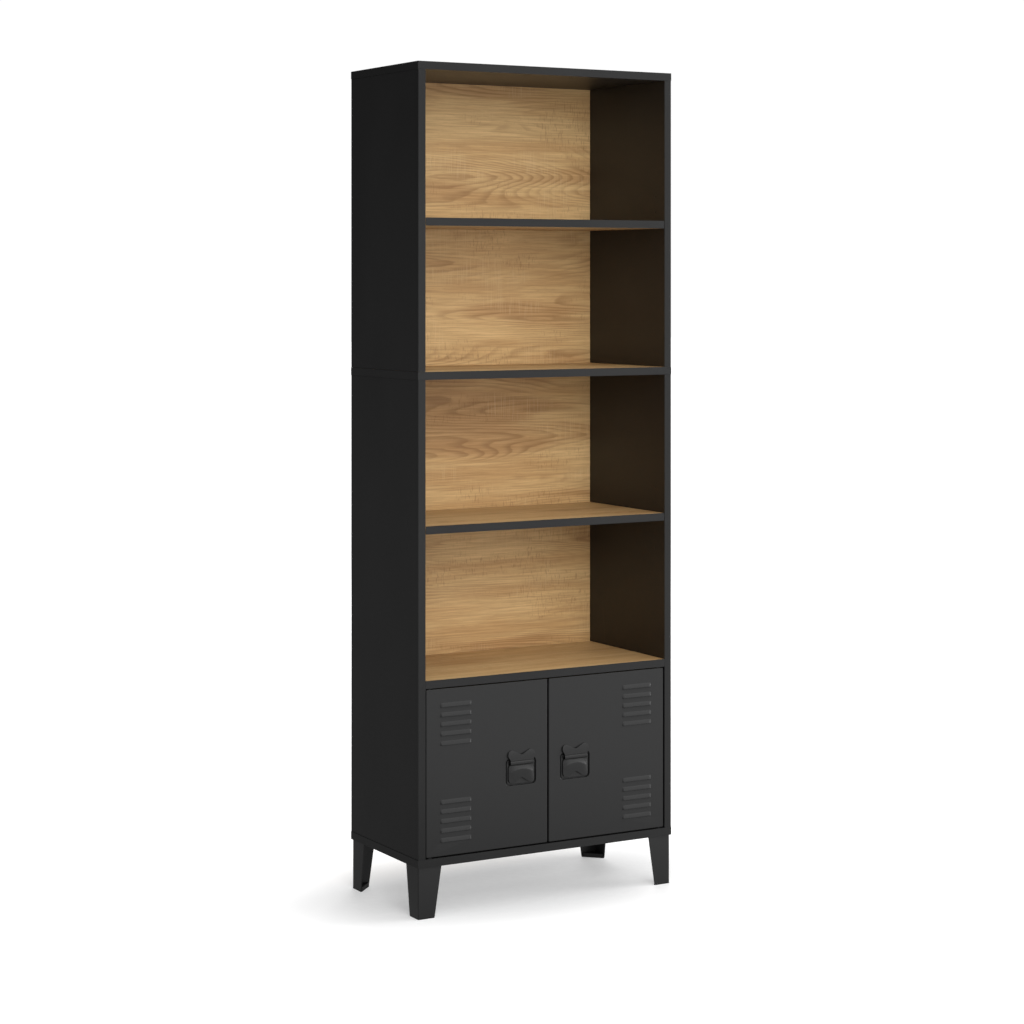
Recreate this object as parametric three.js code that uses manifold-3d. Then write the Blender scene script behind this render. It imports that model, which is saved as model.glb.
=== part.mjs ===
// Tall narrow bookcase on four folded-steel legs: a black board carcass with four open bays, two of
// them on lift-off shelves, over a cabinet closed by a pair of pressed-steel doors.
// Millimetres, +Z up, the doors face -Y, the origin is centred on the floor under the whole bookcase.

import * as THREE from "three";
import { mergeVertices } from "three/addons/utils/BufferGeometryUtils.js";
import Module from "manifold-3d";

const wasm = await Module();
wasm.setup();

// Overall sizes
const WIDTH = 600; // over the ends of the top, middle and bottom panels
const DEPTH = 300; // from the panels' front edges to the rear face of the back boards
const HEIGHT = 1700;
const LEG_HEIGHT = 102.5; // floor to the underside of the bottom panel

// Boards
const BOARD = 16; // thickness of every panel, side and shelf
const BACK_BOARD = 3;
const REBATE = 6; // how far a back board reaches into the panels round it
const CABINET_HEIGHT = 337.8; // clear height behind the doors
const BAY_HEIGHT = 290; // clear height of each open bay but the top one, which takes what is left
const END_OVERHANG = 0.8; // how far the top, middle and bottom panels stand past the sides
const EDGE_BAND = 1; // thickness of the glued edge strip on the oak boards
const SEAM = 0.2; // gap between fixed pieces that meet
const SHELF_END_GAP = 1; // gap beside a lift-off shelf
const SHELF_BACK_GAP = 1; // gap behind a shelf

// Shelf pins and the rows of holes they fit
const PIN_RADIUS = 2.5;
const PIN_HEAD_RADIUS = 3.5;
const PIN_DEPTH = 9; // length inside the side panel
const PIN_REACH = 9; // length under the shelf
const PIN_CLEARANCE = 0.15; // round the pin in its hole, and round its head in the shelf's groove
const HOLE_DEPTH = 11;
const HOLE_PITCH = 32;
const HOLES_EACH_WAY = 2; // spare holes above and below the one in use
const PIN_INSET = 37; // from the front edge, and from the back board

// Dowels that fix the cabinet shelf
const DOWEL_RADIUS = 4;
const DOWEL_LENGTH = 30;
const DOWEL_IN_SIDE = 11;
const DOWEL_INSET = 60; // from the front edge, and from the back board

// Doors
const DOOR_GAP = 2; // round a door
const DOOR_MEETING_GAP = 3; // between the two doors
const DOOR_RECESS = 1.5; // door face behind the carcass front
const DOOR_DEPTH = 15; // over the folded edges
const SHEET = 1.2; // door sheet
const PIVOT_FROM_EDGE = 10; // hinge line from the door's outer edge
const PIVOT_FROM_FACE = 6; // hinge line behind the door's face
const PIVOT_RADIUS = 2.5;
const PIVOT_LENGTH_IN_BUSH = 6;
const PIVOT_HEAD_RADIUS = 4;
const PIVOT_HEAD = 3;
const PIVOT_CLEARANCE = 0.1;
const BUSH_RADIUS = 4;
const BUSH_LENGTH = 8; // sunk in the board
const BUSH_FLANGE_RADIUS = 5.2;
const BUSH_FLANGE = 1.2;

// Louvres, pressed out of the door sheet and open along the lower edge
const LOUVRE_LENGTH = 71;
const LOUVRE_HEIGHT = 9;
const LOUVRE_RISE = 3;
const LOUVRE_PITCH = 19;
const LOUVRES_IN_GROUP = 5;
const LOUVRE_CROWN_FALL = 1.55; // how far down the half height the crown of a louvre comes
const LOUVRE_LIP_SHARE = 0.86; // rise left at the lower lip
const LOUVRE_CROWN_TURNS = [0.45, 0.8, 1]; // quarter turns at which the outer crown is drawn
const LOUVRE_HOLLOW_TURNS = [0.6, 1]; // the same for the hollow behind it
const LOUVRE_END_TURNS = [0.12, 0.5, 1]; // quarter turns at which an end's shoulder is drawn
const LOUVRE_HOLLOW_END_TURNS = [0.3, 1];
const LOUVRE_FROM_HINGE_EDGE = 67; // door's outer edge to the middle of the louvres
const LOUVRE_FROM_DOOR_END = 70.5; // door's top or bottom edge to the middle of a group

// Pull: a bow-tie plate over a pressed finger cup
const PULL_FROM_MEETING_EDGE = 62.5; // door's inner edge to the middle of the pull
const PULL_HEIGHT = 67;
const PULL_LOBE_WIDTH = 62;
const PULL_WAIST_WIDTH = 57;
const PULL_NOTCH = 9.5; // depth of the notch in the plate's upper and lower edge
const PULL_NOTCH_REACH = 1.5; // half the width of the plate over half the width of a notch
const PULL_SHEET = 1.2;
const PULL_BULGE = 2.4; // how far the lower half stands out past the upper half
const PULL_BULGE_TURNS = 1.4; // half turns of the bulge's sine over the lower half, held at its crest
const PULL_COLUMNS = 8;
const PULL_ROWS = 8;
const PULL_BELOW_MIDDLE = 5; // middle of the plate under the middle of the door
const CUP_WIDTH = 65;
const CUP_HEIGHT = 51;
const CUP_CORNER = 9;
const CUP_DEPTH = 11;
const CUP_RIM = 4; // flange behind the door sheet
const CUP_BELOW_MIDDLE = 17; // middle of the cup under the middle of the door

// Magnetic catches under the cabinet shelf
const CATCH_WIDTH = 40;
const CATCH_DEPTH = 15;
const CATCH_HEIGHT = 12;
const CATCH_FROM_MIDDLE = 12;
const CATCH_GAP = 0.4; // between the catch and a closed door

// Legs
const LEG_INSET_SIDE = 2.3; // outer face inside the end of the bottom panel
const LEG_INSET_END = 3.4; // outer face inside the bottom panel's front or rear edge
const LEG_TOP_WIDTH = 52.2;
const LEG_FOOT_WIDTH = 37;
const LEG_SHEET = 2;
const LEG_BEND = 2.6; // outer radius of the fold
const LEG_FLANGE_NOSE = 12; // width left at each end of the top plate by its cut-off corner
const LEG_SCREW_LINE = 10.5; // screw holes from the leg's outer faces
const LEG_SCREW_RADIUS = 2.3;
const GLIDE_SOLE = 2.5; // under the walls
const GLIDE_HEIGHT = 9; // with the block that plugs in between the walls
const GLIDE_INSET = 0.3; // sole's edge inside the foot's edge
const GLIDE_NOSE = 3;
const GLIDE_CLEARANCE = 0.3;

// Steel angle that ties the bookcase to a wall
const ANGLE_LEAF = 28;
const ANGLE_WIDTH = 30;
const ANGLE_SHEET = 1.8;
const ANGLE_HOLE_RADIUS = 2.4;
const ANGLE_HOLE_PLACE = 0.6; // along a leaf, from the fold
const ANGLE_FROM_SIDE = 18;

// Levels and faces that follow from the sizes above
const FRONT = -DEPTH / 2;
const REAR = DEPTH / 2;
const BACK_FACE = REAR - BACK_BOARD;
const SIDE_OUTER = WIDTH / 2 - END_OVERHANG;
const SIDE_INNER = SIDE_OUTER - BOARD;
const BOTTOM_TOP = LEG_HEIGHT + BOARD;
const CABINET_SHELF = BOTTOM_TOP + CABINET_HEIGHT; // each shelf level is the underside of its board
const LOWER_SHELF = CABINET_SHELF + BOARD + BAY_HEIGHT;
const MIDDLE_PANEL = LOWER_SHELF + BOARD + BAY_HEIGHT;
const UPPER_SHELF = MIDDLE_PANEL + BOARD + BAY_HEIGHT;
const TOP_PANEL = HEIGHT - BOARD;
const DOOR_FACE = FRONT + DOOR_RECESS;
const DOOR_BOTTOM = BOTTOM_TOP + DOOR_GAP;
const DOOR_TOP = CABINET_SHELF - DOOR_GAP;
const DOOR_MIDDLE = (DOOR_BOTTOM + DOOR_TOP) / 2;
const DOOR_OUTER = -(SIDE_INNER - DOOR_GAP); // the left door's edges
const DOOR_INNER = -DOOR_MEETING_GAP / 2;
const PIVOT_X = DOOR_OUTER + PIVOT_FROM_EDGE;
const PIVOT_Y = DOOR_FACE + PIVOT_FROM_FACE;
const PULL_X = DOOR_INNER - PULL_FROM_MEETING_EDGE;
const PULL_REACH = SEAM + PULL_SHEET + PULL_BULGE; // how far the pull stands out of the door face
const FRONT_REACH = Math.max(PULL_REACH, LOUVRE_RISE) - DOOR_RECESS;

const ROUND_SIDES = 16;
const SMALL_SIDES = 12;
const OVERRUN = 5; // how far a cutting solid runs past the face that it opens

const FINISHES = {
  blackBoard: { color: 0x2b2b2c, roughness: 0.55, metalness: 0 },
  blackEdge: { color: 0x343435, roughness: 0.5, metalness: 0 },
  oakBoard: { color: 0xb48a5a, roughness: 0.6, metalness: 0 },
  blackSteel: { color: 0x3a3a3b, roughness: 0.45, metalness: 0.3 },
  zincSteel: { color: 0xa7a9ab, roughness: 0.35, metalness: 0.9 },
  nylon: { color: 0x1d1d1e, roughness: 0.6, metalness: 0 },
  beech: { color: 0xd2b48a, roughness: 0.75, metalness: 0 },
};

// ---- Shapes ----

function toSolid(geometry) {
  const bare = geometry.clone();
  bare.deleteAttribute("normal");
  bare.deleteAttribute("uv");
  const merged = mergeVertices(bare, 1e-4);
  return new wasm.Manifold(
    new wasm.Mesh({
      numProp: 3,
      vertProperties: merged.attributes.position.array,
      triVerts: new Uint32Array(merged.index.array),
    }),
  );
}

function toGeometry(solid) {
  const mesh = solid.getMesh();
  const geometry = new THREE.BufferGeometry();
  geometry.setAttribute("position", new THREE.BufferAttribute(new Float32Array(mesh.vertProperties), 3));
  geometry.setIndex(new THREE.BufferAttribute(new Uint32Array(mesh.triVerts), 1));
  geometry.computeVertexNormals();
  return geometry;
}

// A box from its low and high value on each axis.
function box(x, y, z) {
  const geometry = new THREE.BoxGeometry(x[1] - x[0], y[1] - y[0], z[1] - z[0]);
  geometry.translate((x[0] + x[1]) / 2, (y[0] + y[1]) / 2, (z[0] + z[1]) / 2);
  return toSolid(geometry);
}

// A turned piece about a vertical line: profile holds [radius, height] pairs that start and end on it.
function turned(profile, x, y, sides) {
  const points = profile.map(([radius, height]) => new THREE.Vector2(radius, height));
  const geometry = new THREE.LatheGeometry(points, sides);
  geometry.rotateX(Math.PI / 2);
  geometry.translate(x, y, 0);
  return toSolid(geometry);
}

function uprightRod(radius, x, y, z, sides) {
  return turned([[0, z[0]], [radius, z[0]], [radius, z[1]], [0, z[1]]], x, y, sides);
}

// A turned piece about a line along X, at depth y and level z.
function turnedAlongX(profile, y, z, sides) {
  const points = profile.map(([radius, along]) => new THREE.Vector2(radius, along));
  const geometry = new THREE.LatheGeometry(points, sides);
  geometry.rotateZ(-Math.PI / 2);
  geometry.translate(0, y, z);
  return toSolid(geometry);
}

function rodAlongX(radius, x, y, z, sides) {
  return turnedAlongX([[0, x[0]], [radius, x[0]], [radius, x[1]], [0, x[1]]], y, z, sides);
}

// A solid of stations along +Z, each with the same number of outline points, anticlockwise.
function loft(stations) {
  const count = stations[0].outline.length;
  const positions = stations.flatMap(({ at, outline }) => outline.flatMap((p) => [p.x, p.y, at]));
  const index = [];
  for (let s = 0; s < stations.length - 1; s++) {
    for (let i = 0; i < count; i++) {
      const j = (i + 1) % count;
      const low = s * count;
      const high = low + count;
      index.push(low + i, low + j, high + j, low + i, high + j, high + i);
    }
  }
  const last = (stations.length - 1) * count;
  for (const [a, b, c] of THREE.ShapeUtils.triangulateShape(stations[0].outline, [])) {
    index.push(a, c, b);
  }
  for (const [a, b, c] of THREE.ShapeUtils.triangulateShape(stations.at(-1).outline, [])) {
    index.push(last + a, last + b, last + c);
  }
  const geometry = new THREE.BufferGeometry();
  geometry.setAttribute("position", new THREE.Float32BufferAttribute(positions, 3));
  geometry.setIndex(index);
  return geometry;
}

// A rounded rectangle in the XZ plane, extruded between two depths.
function roundedPlate(x, z, width, height, corner, y) {
  const shape = new THREE.Shape();
  const w = width / 2;
  const h = height / 2;
  shape.absarc(w - corner, h - corner, corner, 0, Math.PI / 2);
  shape.absarc(corner - w, h - corner, corner, Math.PI / 2, Math.PI);
  shape.absarc(corner - w, corner - h, corner, Math.PI, 1.5 * Math.PI);
  shape.absarc(w - corner, corner - h, corner, 1.5 * Math.PI, 2 * Math.PI);
  const geometry = new THREE.ExtrudeGeometry(shape, {
    depth: y[1] - y[0],
    bevelEnabled: false,
    curveSegments: 4,
  });
  geometry.rotateX(Math.PI / 2);
  geometry.translate(x, y[1], z);
  return toSolid(geometry);
}

function cut(solid, tools) {
  return tools.reduce((rest, tool) => rest.subtract(tool), solid);
}

const bookcase = new THREE.Group();
bookcase.position.y = FRONT_REACH / 2;

function place(parent, name, solid, finish) {
  const mesh = new THREE.Mesh(toGeometry(solid), new THREE.MeshStandardMaterial(FINISHES[finish]));
  mesh.name = name;
  parent.add(mesh);
}

// Both hands of a piece that is built on the left.
function bothSides(build) {
  for (const side of ["left", "right"]) {
    const group = new THREE.Group();
    group.scale.x = side === "left" ? 1 : -1;
    bookcase.add(group);
    build(group, side);
  }
}

const DEPTHS_OF_PINS = { front: FRONT + PIN_INSET, rear: BACK_FACE - PIN_INSET };
const DEPTHS_OF_DOWELS = { front: FRONT + DOWEL_INSET, rear: BACK_FACE - DOWEL_INSET };

// Pins lie in grooves under the shelf, so their axis is above its underside.
function pinLevel(shelf) {
  return shelf + PIN_HEAD_RADIUS;
}

// ---- Carcass ----

// The groove along a panel's rear edge that a back board sits in; z is the groove's low and high.
function rebateAcross(z) {
  const reach = SIDE_INNER + REBATE;
  return box([-reach, reach], [BACK_FACE - SEAM, REAR + OVERRUN], z);
}

function bushSeat(board, z) {
  const seats = [-1, 1].map((hand) => {
    return uprightRod(BUSH_RADIUS + SEAM, hand * Math.abs(PIVOT_X), PIVOT_Y, z, ROUND_SIDES);
  });
  return cut(board, seats);
}

function widePanels() {
  const across = [-WIDTH / 2, WIDTH / 2];
  const through = [FRONT, REAR];
  const top = box(across, through, [TOP_PANEL, HEIGHT]);
  place(bookcase, "top_panel", cut(top, [rebateAcross([TOP_PANEL - OVERRUN, TOP_PANEL + REBATE])]), "blackBoard");

  const bottom = bushSeat(
    box(across, through, [LEG_HEIGHT, BOTTOM_TOP]),
    [BOTTOM_TOP - BUSH_LENGTH - SEAM, BOTTOM_TOP + OVERRUN],
  );
  const bottomRebate = rebateAcross([BOTTOM_TOP - REBATE, BOTTOM_TOP + OVERRUN]);
  place(bookcase, "bottom_panel", cut(bottom, [bottomRebate]), "blackBoard");

  const bandedX = WIDTH / 2 - EDGE_BAND;
  const middleTop = MIDDLE_PANEL + BOARD;
  const core = box([-bandedX + SEAM, bandedX - SEAM], [FRONT + EDGE_BAND + SEAM, REAR], [MIDDLE_PANEL, middleTop]);
  const middleRebates = [
    rebateAcross([MIDDLE_PANEL - OVERRUN, MIDDLE_PANEL + REBATE]),
    rebateAcross([middleTop - REBATE, middleTop + OVERRUN]),
  ];
  place(bookcase, "middle_panel", cut(core, middleRebates), "oakBoard");
  const band = box(across, through, [MIDDLE_PANEL, middleTop]).subtract(
    box([-bandedX, bandedX], [FRONT + EDGE_BAND, REAR + OVERRUN], [MIDDLE_PANEL - OVERRUN, middleTop + OVERRUN]),
  );
  place(bookcase, "middle_panel_edge_band", band, "blackEdge");
}

function pinHoles(shelf) {
  const holes = [];
  for (const y of Object.values(DEPTHS_OF_PINS)) {
    for (let step = -HOLES_EACH_WAY; step <= HOLES_EACH_WAY; step++) {
      const z = pinLevel(shelf) + step * HOLE_PITCH;
      const x = [-SIDE_INNER - HOLE_DEPTH, -SIDE_INNER + OVERRUN];
      holes.push(rodAlongX(PIN_RADIUS + PIN_CLEARANCE, x, y, z, SMALL_SIDES));
    }
  }
  return holes;
}

// Holes for the cabinet shelf's dowels; x is their low and high on the left.
function dowelHoles(x) {
  const z = CABINET_SHELF + BOARD / 2;
  return Object.values(DEPTHS_OF_DOWELS).map((y) => rodAlongX(DOWEL_RADIUS + SEAM, x, y, z, SMALL_SIDES));
}

function sidePanels() {
  const x = [-SIDE_OUTER, -SIDE_INNER];
  const rebate = box(
    [-SIDE_INNER - REBATE, -SIDE_INNER + OVERRUN],
    [BACK_FACE - SEAM, REAR + OVERRUN],
    [0, HEIGHT + OVERRUN],
  );
  bothSides((group, side) => {
    const upper = box(x, [FRONT, REAR], [MIDDLE_PANEL + BOARD + SEAM, TOP_PANEL - SEAM]);
    place(group, side + "_side_upper", cut(upper, [rebate, ...pinHoles(UPPER_SHELF)]), "blackBoard");
    const lower = box(x, [FRONT, REAR], [BOTTOM_TOP + SEAM, MIDDLE_PANEL - SEAM]);
    const dowelX = [-SIDE_INNER - DOWEL_IN_SIDE - SEAM, -SIDE_INNER + OVERRUN];
    const cuts = [rebate, ...pinHoles(LOWER_SHELF), ...dowelHoles(dowelX)];
    place(group, side + "_side_lower", cut(lower, cuts), "blackBoard");
  });
}

function backBoard(name, low, high) {
  const reach = SIDE_INNER + REBATE - SEAM;
  const z = [low - REBATE + SEAM, high + REBATE - SEAM];
  place(bookcase, name, box([-reach, reach], [BACK_FACE, REAR], z), "oakBoard");
}

// ---- Shelves ----

// An oak board with a black strip along its front edge.
function bandedShelf(name, level, endGap, cuts) {
  const reach = SIDE_INNER - endGap;
  const z = [level, level + BOARD];
  const core = box([-reach, reach], [FRONT + EDGE_BAND + SEAM, BACK_FACE - SHELF_BACK_GAP], z);
  place(bookcase, name, cut(core, cuts), "oakBoard");
  place(bookcase, name + "_edge_band", box([-reach, reach], [FRONT, FRONT + EDGE_BAND], z), "blackEdge");
}

// Grooves from the shelf's ends that drop over the pins, so that the shelf lifts off but can't slide.
function pinGrooves(level) {
  const half = PIN_HEAD_RADIUS + PIN_CLEARANCE;
  const z = [level - OVERRUN, pinLevel(level) + half];
  const low = SIDE_INNER - PIN_REACH - SHELF_END_GAP;
  return Object.values(DEPTHS_OF_PINS).flatMap((y) => [
    box([-SIDE_INNER - OVERRUN, -low], [y - half, y + half], z),
    box([low, SIDE_INNER + OVERRUN], [y - half, y + half], z),
  ]);
}

function shelfPins(name, level) {
  const profile = [
    [0, -SIDE_INNER - PIN_DEPTH],
    [PIN_RADIUS, -SIDE_INNER - PIN_DEPTH],
    [PIN_RADIUS, -SIDE_INNER + SEAM],
    [PIN_HEAD_RADIUS, -SIDE_INNER + SEAM],
    [PIN_HEAD_RADIUS, -SIDE_INNER + PIN_REACH],
    [0, -SIDE_INNER + PIN_REACH],
  ];
  bothSides((group, side) => {
    for (const [end, y] of Object.entries(DEPTHS_OF_PINS)) {
      const pin = turnedAlongX(profile, y, pinLevel(level), SMALL_SIDES);
      place(group, name + "_pin_" + side + "_" + end, pin, "zincSteel");
    }
  });
}

function cabinetShelf() {
  const reach = SIDE_INNER - SEAM;
  const dowelEnd = SIDE_INNER + DOWEL_IN_SIDE - DOWEL_LENGTH;
  const left = dowelHoles([-SIDE_INNER - OVERRUN, -dowelEnd + SEAM]);
  const right = dowelHoles([dowelEnd - SEAM, SIDE_INNER + OVERRUN]);
  const core = box(
    [-reach, reach],
    [FRONT + EDGE_BAND + SEAM, BACK_FACE - SHELF_BACK_GAP],
    [CABINET_SHELF, CABINET_SHELF + BOARD],
  );
  const seated = bushSeat(core, [CABINET_SHELF - OVERRUN, CABINET_SHELF + BUSH_LENGTH + SEAM]);
  place(bookcase, "cabinet_shelf", cut(seated, [...left, ...right]), "oakBoard");
  const band = box([-reach, reach], [FRONT, FRONT + EDGE_BAND], [CABINET_SHELF, CABINET_SHELF + BOARD]);
  place(bookcase, "cabinet_shelf_edge_band", band, "blackEdge");
  bothSides((group, side) => {
    for (const [end, y] of Object.entries(DEPTHS_OF_DOWELS)) {
      const x = [-SIDE_INNER - DOWEL_IN_SIDE, -dowelEnd];
      const dowel = rodAlongX(DOWEL_RADIUS, x, y, CABINET_SHELF + BOARD / 2, SMALL_SIDES);
      place(group, "cabinet_shelf_dowel_" + side + "_" + end, dowel, "beech");
    }
  });
}

// ---- Doors ----

// One louvre's outline across its length, as [depth, level] about its middle: it rises from the
// sheet at the top to a lip along the bottom. Scale shrinks the rise, wall thins it all round.
function louvreOutline(scale, wall) {
  const half = LOUVRE_HEIGHT / 2 - wall;
  const rise = (LOUVRE_RISE - wall) * scale;
  const points = [new THREE.Vector2(0, half)];
  for (const turn of wall > 0 ? LOUVRE_HOLLOW_TURNS : LOUVRE_CROWN_TURNS) {
    const angle = (turn * Math.PI) / 2;
    const fall = half * LOUVRE_CROWN_FALL * (1 - Math.cos(angle));
    points.push(new THREE.Vector2(-rise * Math.sin(angle), half - fall));
  }
  const lip = wall > 0 ? -LOUVRE_HEIGHT / 2 - wall : -LOUVRE_HEIGHT / 2;
  const behind = wall > 0 ? 2 * SHEET : SHEET / 2; // the hollow runs right through the sheet
  points.push(new THREE.Vector2(-rise * LOUVRE_LIP_SHARE, lip));
  points.push(new THREE.Vector2(0, lip));
  points.push(new THREE.Vector2(behind, lip));
  points.push(new THREE.Vector2(behind, half));
  return points;
}

// Stations run in from each end with a rounded shoulder.
function louvreBody(wall) {
  const half = LOUVRE_LENGTH / 2 - wall;
  const shoulder = LOUVRE_HEIGHT / 2;
  const ends = (wall > 0 ? LOUVRE_HOLLOW_END_TURNS : LOUVRE_END_TURNS).map((turn) => {
    const angle = (turn * Math.PI) / 2;
    return { inward: shoulder * (1 - Math.cos(angle)), scale: Math.sin(angle) };
  });
  const stations = ends.map((e) => ({ at: e.inward - half, outline: louvreOutline(e.scale, wall) }));
  for (const e of [...ends].reverse()) {
    stations.push({ at: half - e.inward, outline: louvreOutline(e.scale, wall) });
  }
  const geometry = loft(stations);
  const axes = [new THREE.Vector3(0, 1, 0), new THREE.Vector3(0, 0, 1), new THREE.Vector3(1, 0, 0)];
  geometry.applyMatrix4(new THREE.Matrix4().makeBasis(...axes));
  return geometry;
}

function louvrePlaces() {
  const places = [];
  for (const middle of [DOOR_TOP - LOUVRE_FROM_DOOR_END, DOOR_BOTTOM + LOUVRE_FROM_DOOR_END]) {
    for (let i = 0; i < LOUVRES_IN_GROUP; i++) {
      places.push(middle + (i - (LOUVRES_IN_GROUP - 1) / 2) * LOUVRE_PITCH);
    }
  }
  return places;
}

function doorPan() {
  const x = [DOOR_OUTER, DOOR_INNER];
  const z = [DOOR_BOTTOM, DOOR_TOP];
  let pan = box(x, [DOOR_FACE, DOOR_FACE + DOOR_DEPTH], z).subtract(
    box(
      [x[0] + SHEET, x[1] - SHEET],
      [DOOR_FACE + SHEET, DOOR_FACE + DOOR_DEPTH + OVERRUN],
      [z[0] + SHEET, z[1] - SHEET],
    ),
  );
  const louvreX = DOOR_OUTER + LOUVRE_FROM_HINGE_EDGE;
  const outside = louvreBody(0);
  const inside = louvreBody(SHEET);
  for (const level of louvrePlaces()) {
    pan = pan.add(toSolid(outside.clone().translate(louvreX, DOOR_FACE, level)));
    pan = pan.subtract(toSolid(inside.clone().translate(louvreX, DOOR_FACE, level)));
  }
  const cupZ = DOOR_MIDDLE - CUP_BELOW_MIDDLE;
  const window = roundedPlate(
    PULL_X, cupZ, CUP_WIDTH, CUP_HEIGHT, CUP_CORNER,
    [DOOR_FACE - OVERRUN, DOOR_FACE + SHEET + OVERRUN],
  );
  const pivotHole = uprightRod(
    PIVOT_RADIUS + PIVOT_CLEARANCE, PIVOT_X, PIVOT_Y,
    [DOOR_BOTTOM - OVERRUN, DOOR_TOP + OVERRUN], ROUND_SIDES,
  );
  return cut(pan, [window, pivotHole]);
}

function fingerCup() {
  const z = DOOR_MIDDLE - CUP_BELOW_MIDDLE;
  const front = DOOR_FACE + SHEET + SEAM;
  const wide = CUP_WIDTH + 2 * CUP_RIM;
  const high = CUP_HEIGHT + 2 * CUP_RIM;
  const rim = roundedPlate(PULL_X, z, wide, high, CUP_CORNER + CUP_RIM, [front, front + SHEET]);
  const shell = roundedPlate(
    PULL_X, z, CUP_WIDTH + 2 * SHEET, CUP_HEIGHT + 2 * SHEET, CUP_CORNER + SHEET, [front, front + CUP_DEPTH],
  );
  const hollow = roundedPlate(
    PULL_X, z, CUP_WIDTH, CUP_HEIGHT, CUP_CORNER, [front - OVERRUN, front + CUP_DEPTH - SHEET],
  );
  return rim.add(shell).subtract(hollow);
}

// The bow-tie plate, as a grid of points bent into shape: the waist is narrow, each edge has a
// shallow notch, and the half under the waist bulges away from the door.
function pullPlate() {
  const columns = PULL_COLUMNS;
  const rows = PULL_ROWS;
  const middle = DOOR_MIDDLE - PULL_BELOW_MIDDLE;
  const back = DOOR_FACE - SEAM;
  const grid = [];
  for (const thickness of [PULL_SHEET, 0]) {
    for (let r = 0; r <= rows; r++) {
      for (let c = 0; c <= columns; c++) {
        const across = (2 * c) / columns - 1;
        const up = (2 * r) / rows - 1;
        const width = PULL_WAIST_WIDTH + (PULL_LOBE_WIDTH - PULL_WAIST_WIDTH) * Math.sin((Math.abs(up) * Math.PI) / 2);
        const notch = PULL_NOTCH * (1 + Math.cos(Math.PI * Math.min(1, Math.abs(across) * PULL_NOTCH_REACH))) / 2;
        const bulge = up < 0 ? PULL_BULGE * Math.sin(Math.PI * Math.min(0.5, -up * PULL_BULGE_TURNS)) : 0;
        grid.push(
          PULL_X + (across * width) / 2,
          back - bulge - thickness,
          middle + up * (PULL_HEIGHT / 2 - notch * Math.abs(up)),
        );
      }
    }
  }
  const layer = (rows + 1) * (columns + 1);
  const at = (side, r, c) => side * layer + r * (columns + 1) + c;
  const index = [];
  const quad = (a, b, c, d) => index.push(a, b, c, a, c, d);
  for (let r = 0; r < rows; r++) {
    for (let c = 0; c < columns; c++) {
      quad(at(0, r, c), at(0, r, c + 1), at(0, r + 1, c + 1), at(0, r + 1, c));
      quad(at(1, r, c), at(1, r + 1, c), at(1, r + 1, c + 1), at(1, r, c + 1));
    }
  }
  for (let c = 0; c < columns; c++) {
    quad(at(0, 0, c), at(1, 0, c), at(1, 0, c + 1), at(0, 0, c + 1));
    quad(at(0, rows, c), at(0, rows, c + 1), at(1, rows, c + 1), at(1, rows, c));
  }
  for (let r = 0; r < rows; r++) {
    quad(at(0, r, 0), at(0, r + 1, 0), at(1, r + 1, 0), at(1, r, 0));
    quad(at(0, r, columns), at(1, r, columns), at(1, r + 1, columns), at(0, r + 1, columns));
  }
  const geometry = new THREE.BufferGeometry();
  geometry.setAttribute("position", new THREE.Float32BufferAttribute(grid, 3));
  geometry.setIndex(index);
  return toSolid(geometry);
}

// A headed pin through the door's folded edge into the bush; way is 1 at the top and -1 at the bottom.
function pivotPin(edge, board, way) {
  const inner = edge - way * (SHEET + SEAM);
  const profile = [
    [0, inner - way * PIVOT_HEAD],
    [PIVOT_HEAD_RADIUS, inner - way * PIVOT_HEAD],
    [PIVOT_HEAD_RADIUS, inner],
    [PIVOT_RADIUS, inner],
    [PIVOT_RADIUS, board + way * PIVOT_LENGTH_IN_BUSH],
    [0, board + way * PIVOT_LENGTH_IN_BUSH],
  ];
  return turned(way > 0 ? profile : profile.reverse(), PIVOT_X, PIVOT_Y, ROUND_SIDES);
}

function pivotBush(board, way) {
  const flangeFace = board - way * (BUSH_FLANGE + SEAM);
  const profile = [
    [0, flangeFace],
    [BUSH_FLANGE_RADIUS, flangeFace],
    [BUSH_FLANGE_RADIUS, board - way * SEAM],
    [BUSH_RADIUS, board - way * SEAM],
    [BUSH_RADIUS, board + way * BUSH_LENGTH],
    [0, board + way * BUSH_LENGTH],
  ];
  const body = turned(way > 0 ? profile : profile.reverse(), PIVOT_X, PIVOT_Y, ROUND_SIDES);
  const ends = [flangeFace - way * OVERRUN, board + way * (PIVOT_LENGTH_IN_BUSH + SEAM)];
  ends.sort((a, b) => a - b);
  return body.subtract(uprightRod(PIVOT_RADIUS + PIVOT_CLEARANCE, PIVOT_X, PIVOT_Y, ends, ROUND_SIDES));
}

function doors() {
  bothSides((group, side) => {
    place(group, side + "_door", doorPan(), "blackSteel");
    place(group, side + "_door_pull", pullPlate(), "blackSteel");
    place(group, side + "_door_finger_cup", fingerCup(), "blackSteel");
    place(group, side + "_door_top_pivot", pivotPin(DOOR_TOP, CABINET_SHELF, 1), "zincSteel");
    place(group, side + "_door_bottom_pivot", pivotPin(DOOR_BOTTOM, BOTTOM_TOP, -1), "zincSteel");
    place(group, side + "_top_bush", pivotBush(CABINET_SHELF, 1), "nylon");
    place(group, side + "_bottom_bush", pivotBush(BOTTOM_TOP, -1), "nylon");
    const rear = DOOR_FACE + DOOR_DEPTH + CATCH_GAP;
    const catchBody = box(
      [-CATCH_FROM_MIDDLE - CATCH_WIDTH, -CATCH_FROM_MIDDLE],
      [rear, rear + CATCH_DEPTH],
      [CABINET_SHELF - CATCH_HEIGHT, CABINET_SHELF - SEAM],
    );
    place(group, side + "_magnetic_catch", catchBody, "nylon");
  });
}

// ---- Legs ----

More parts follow.
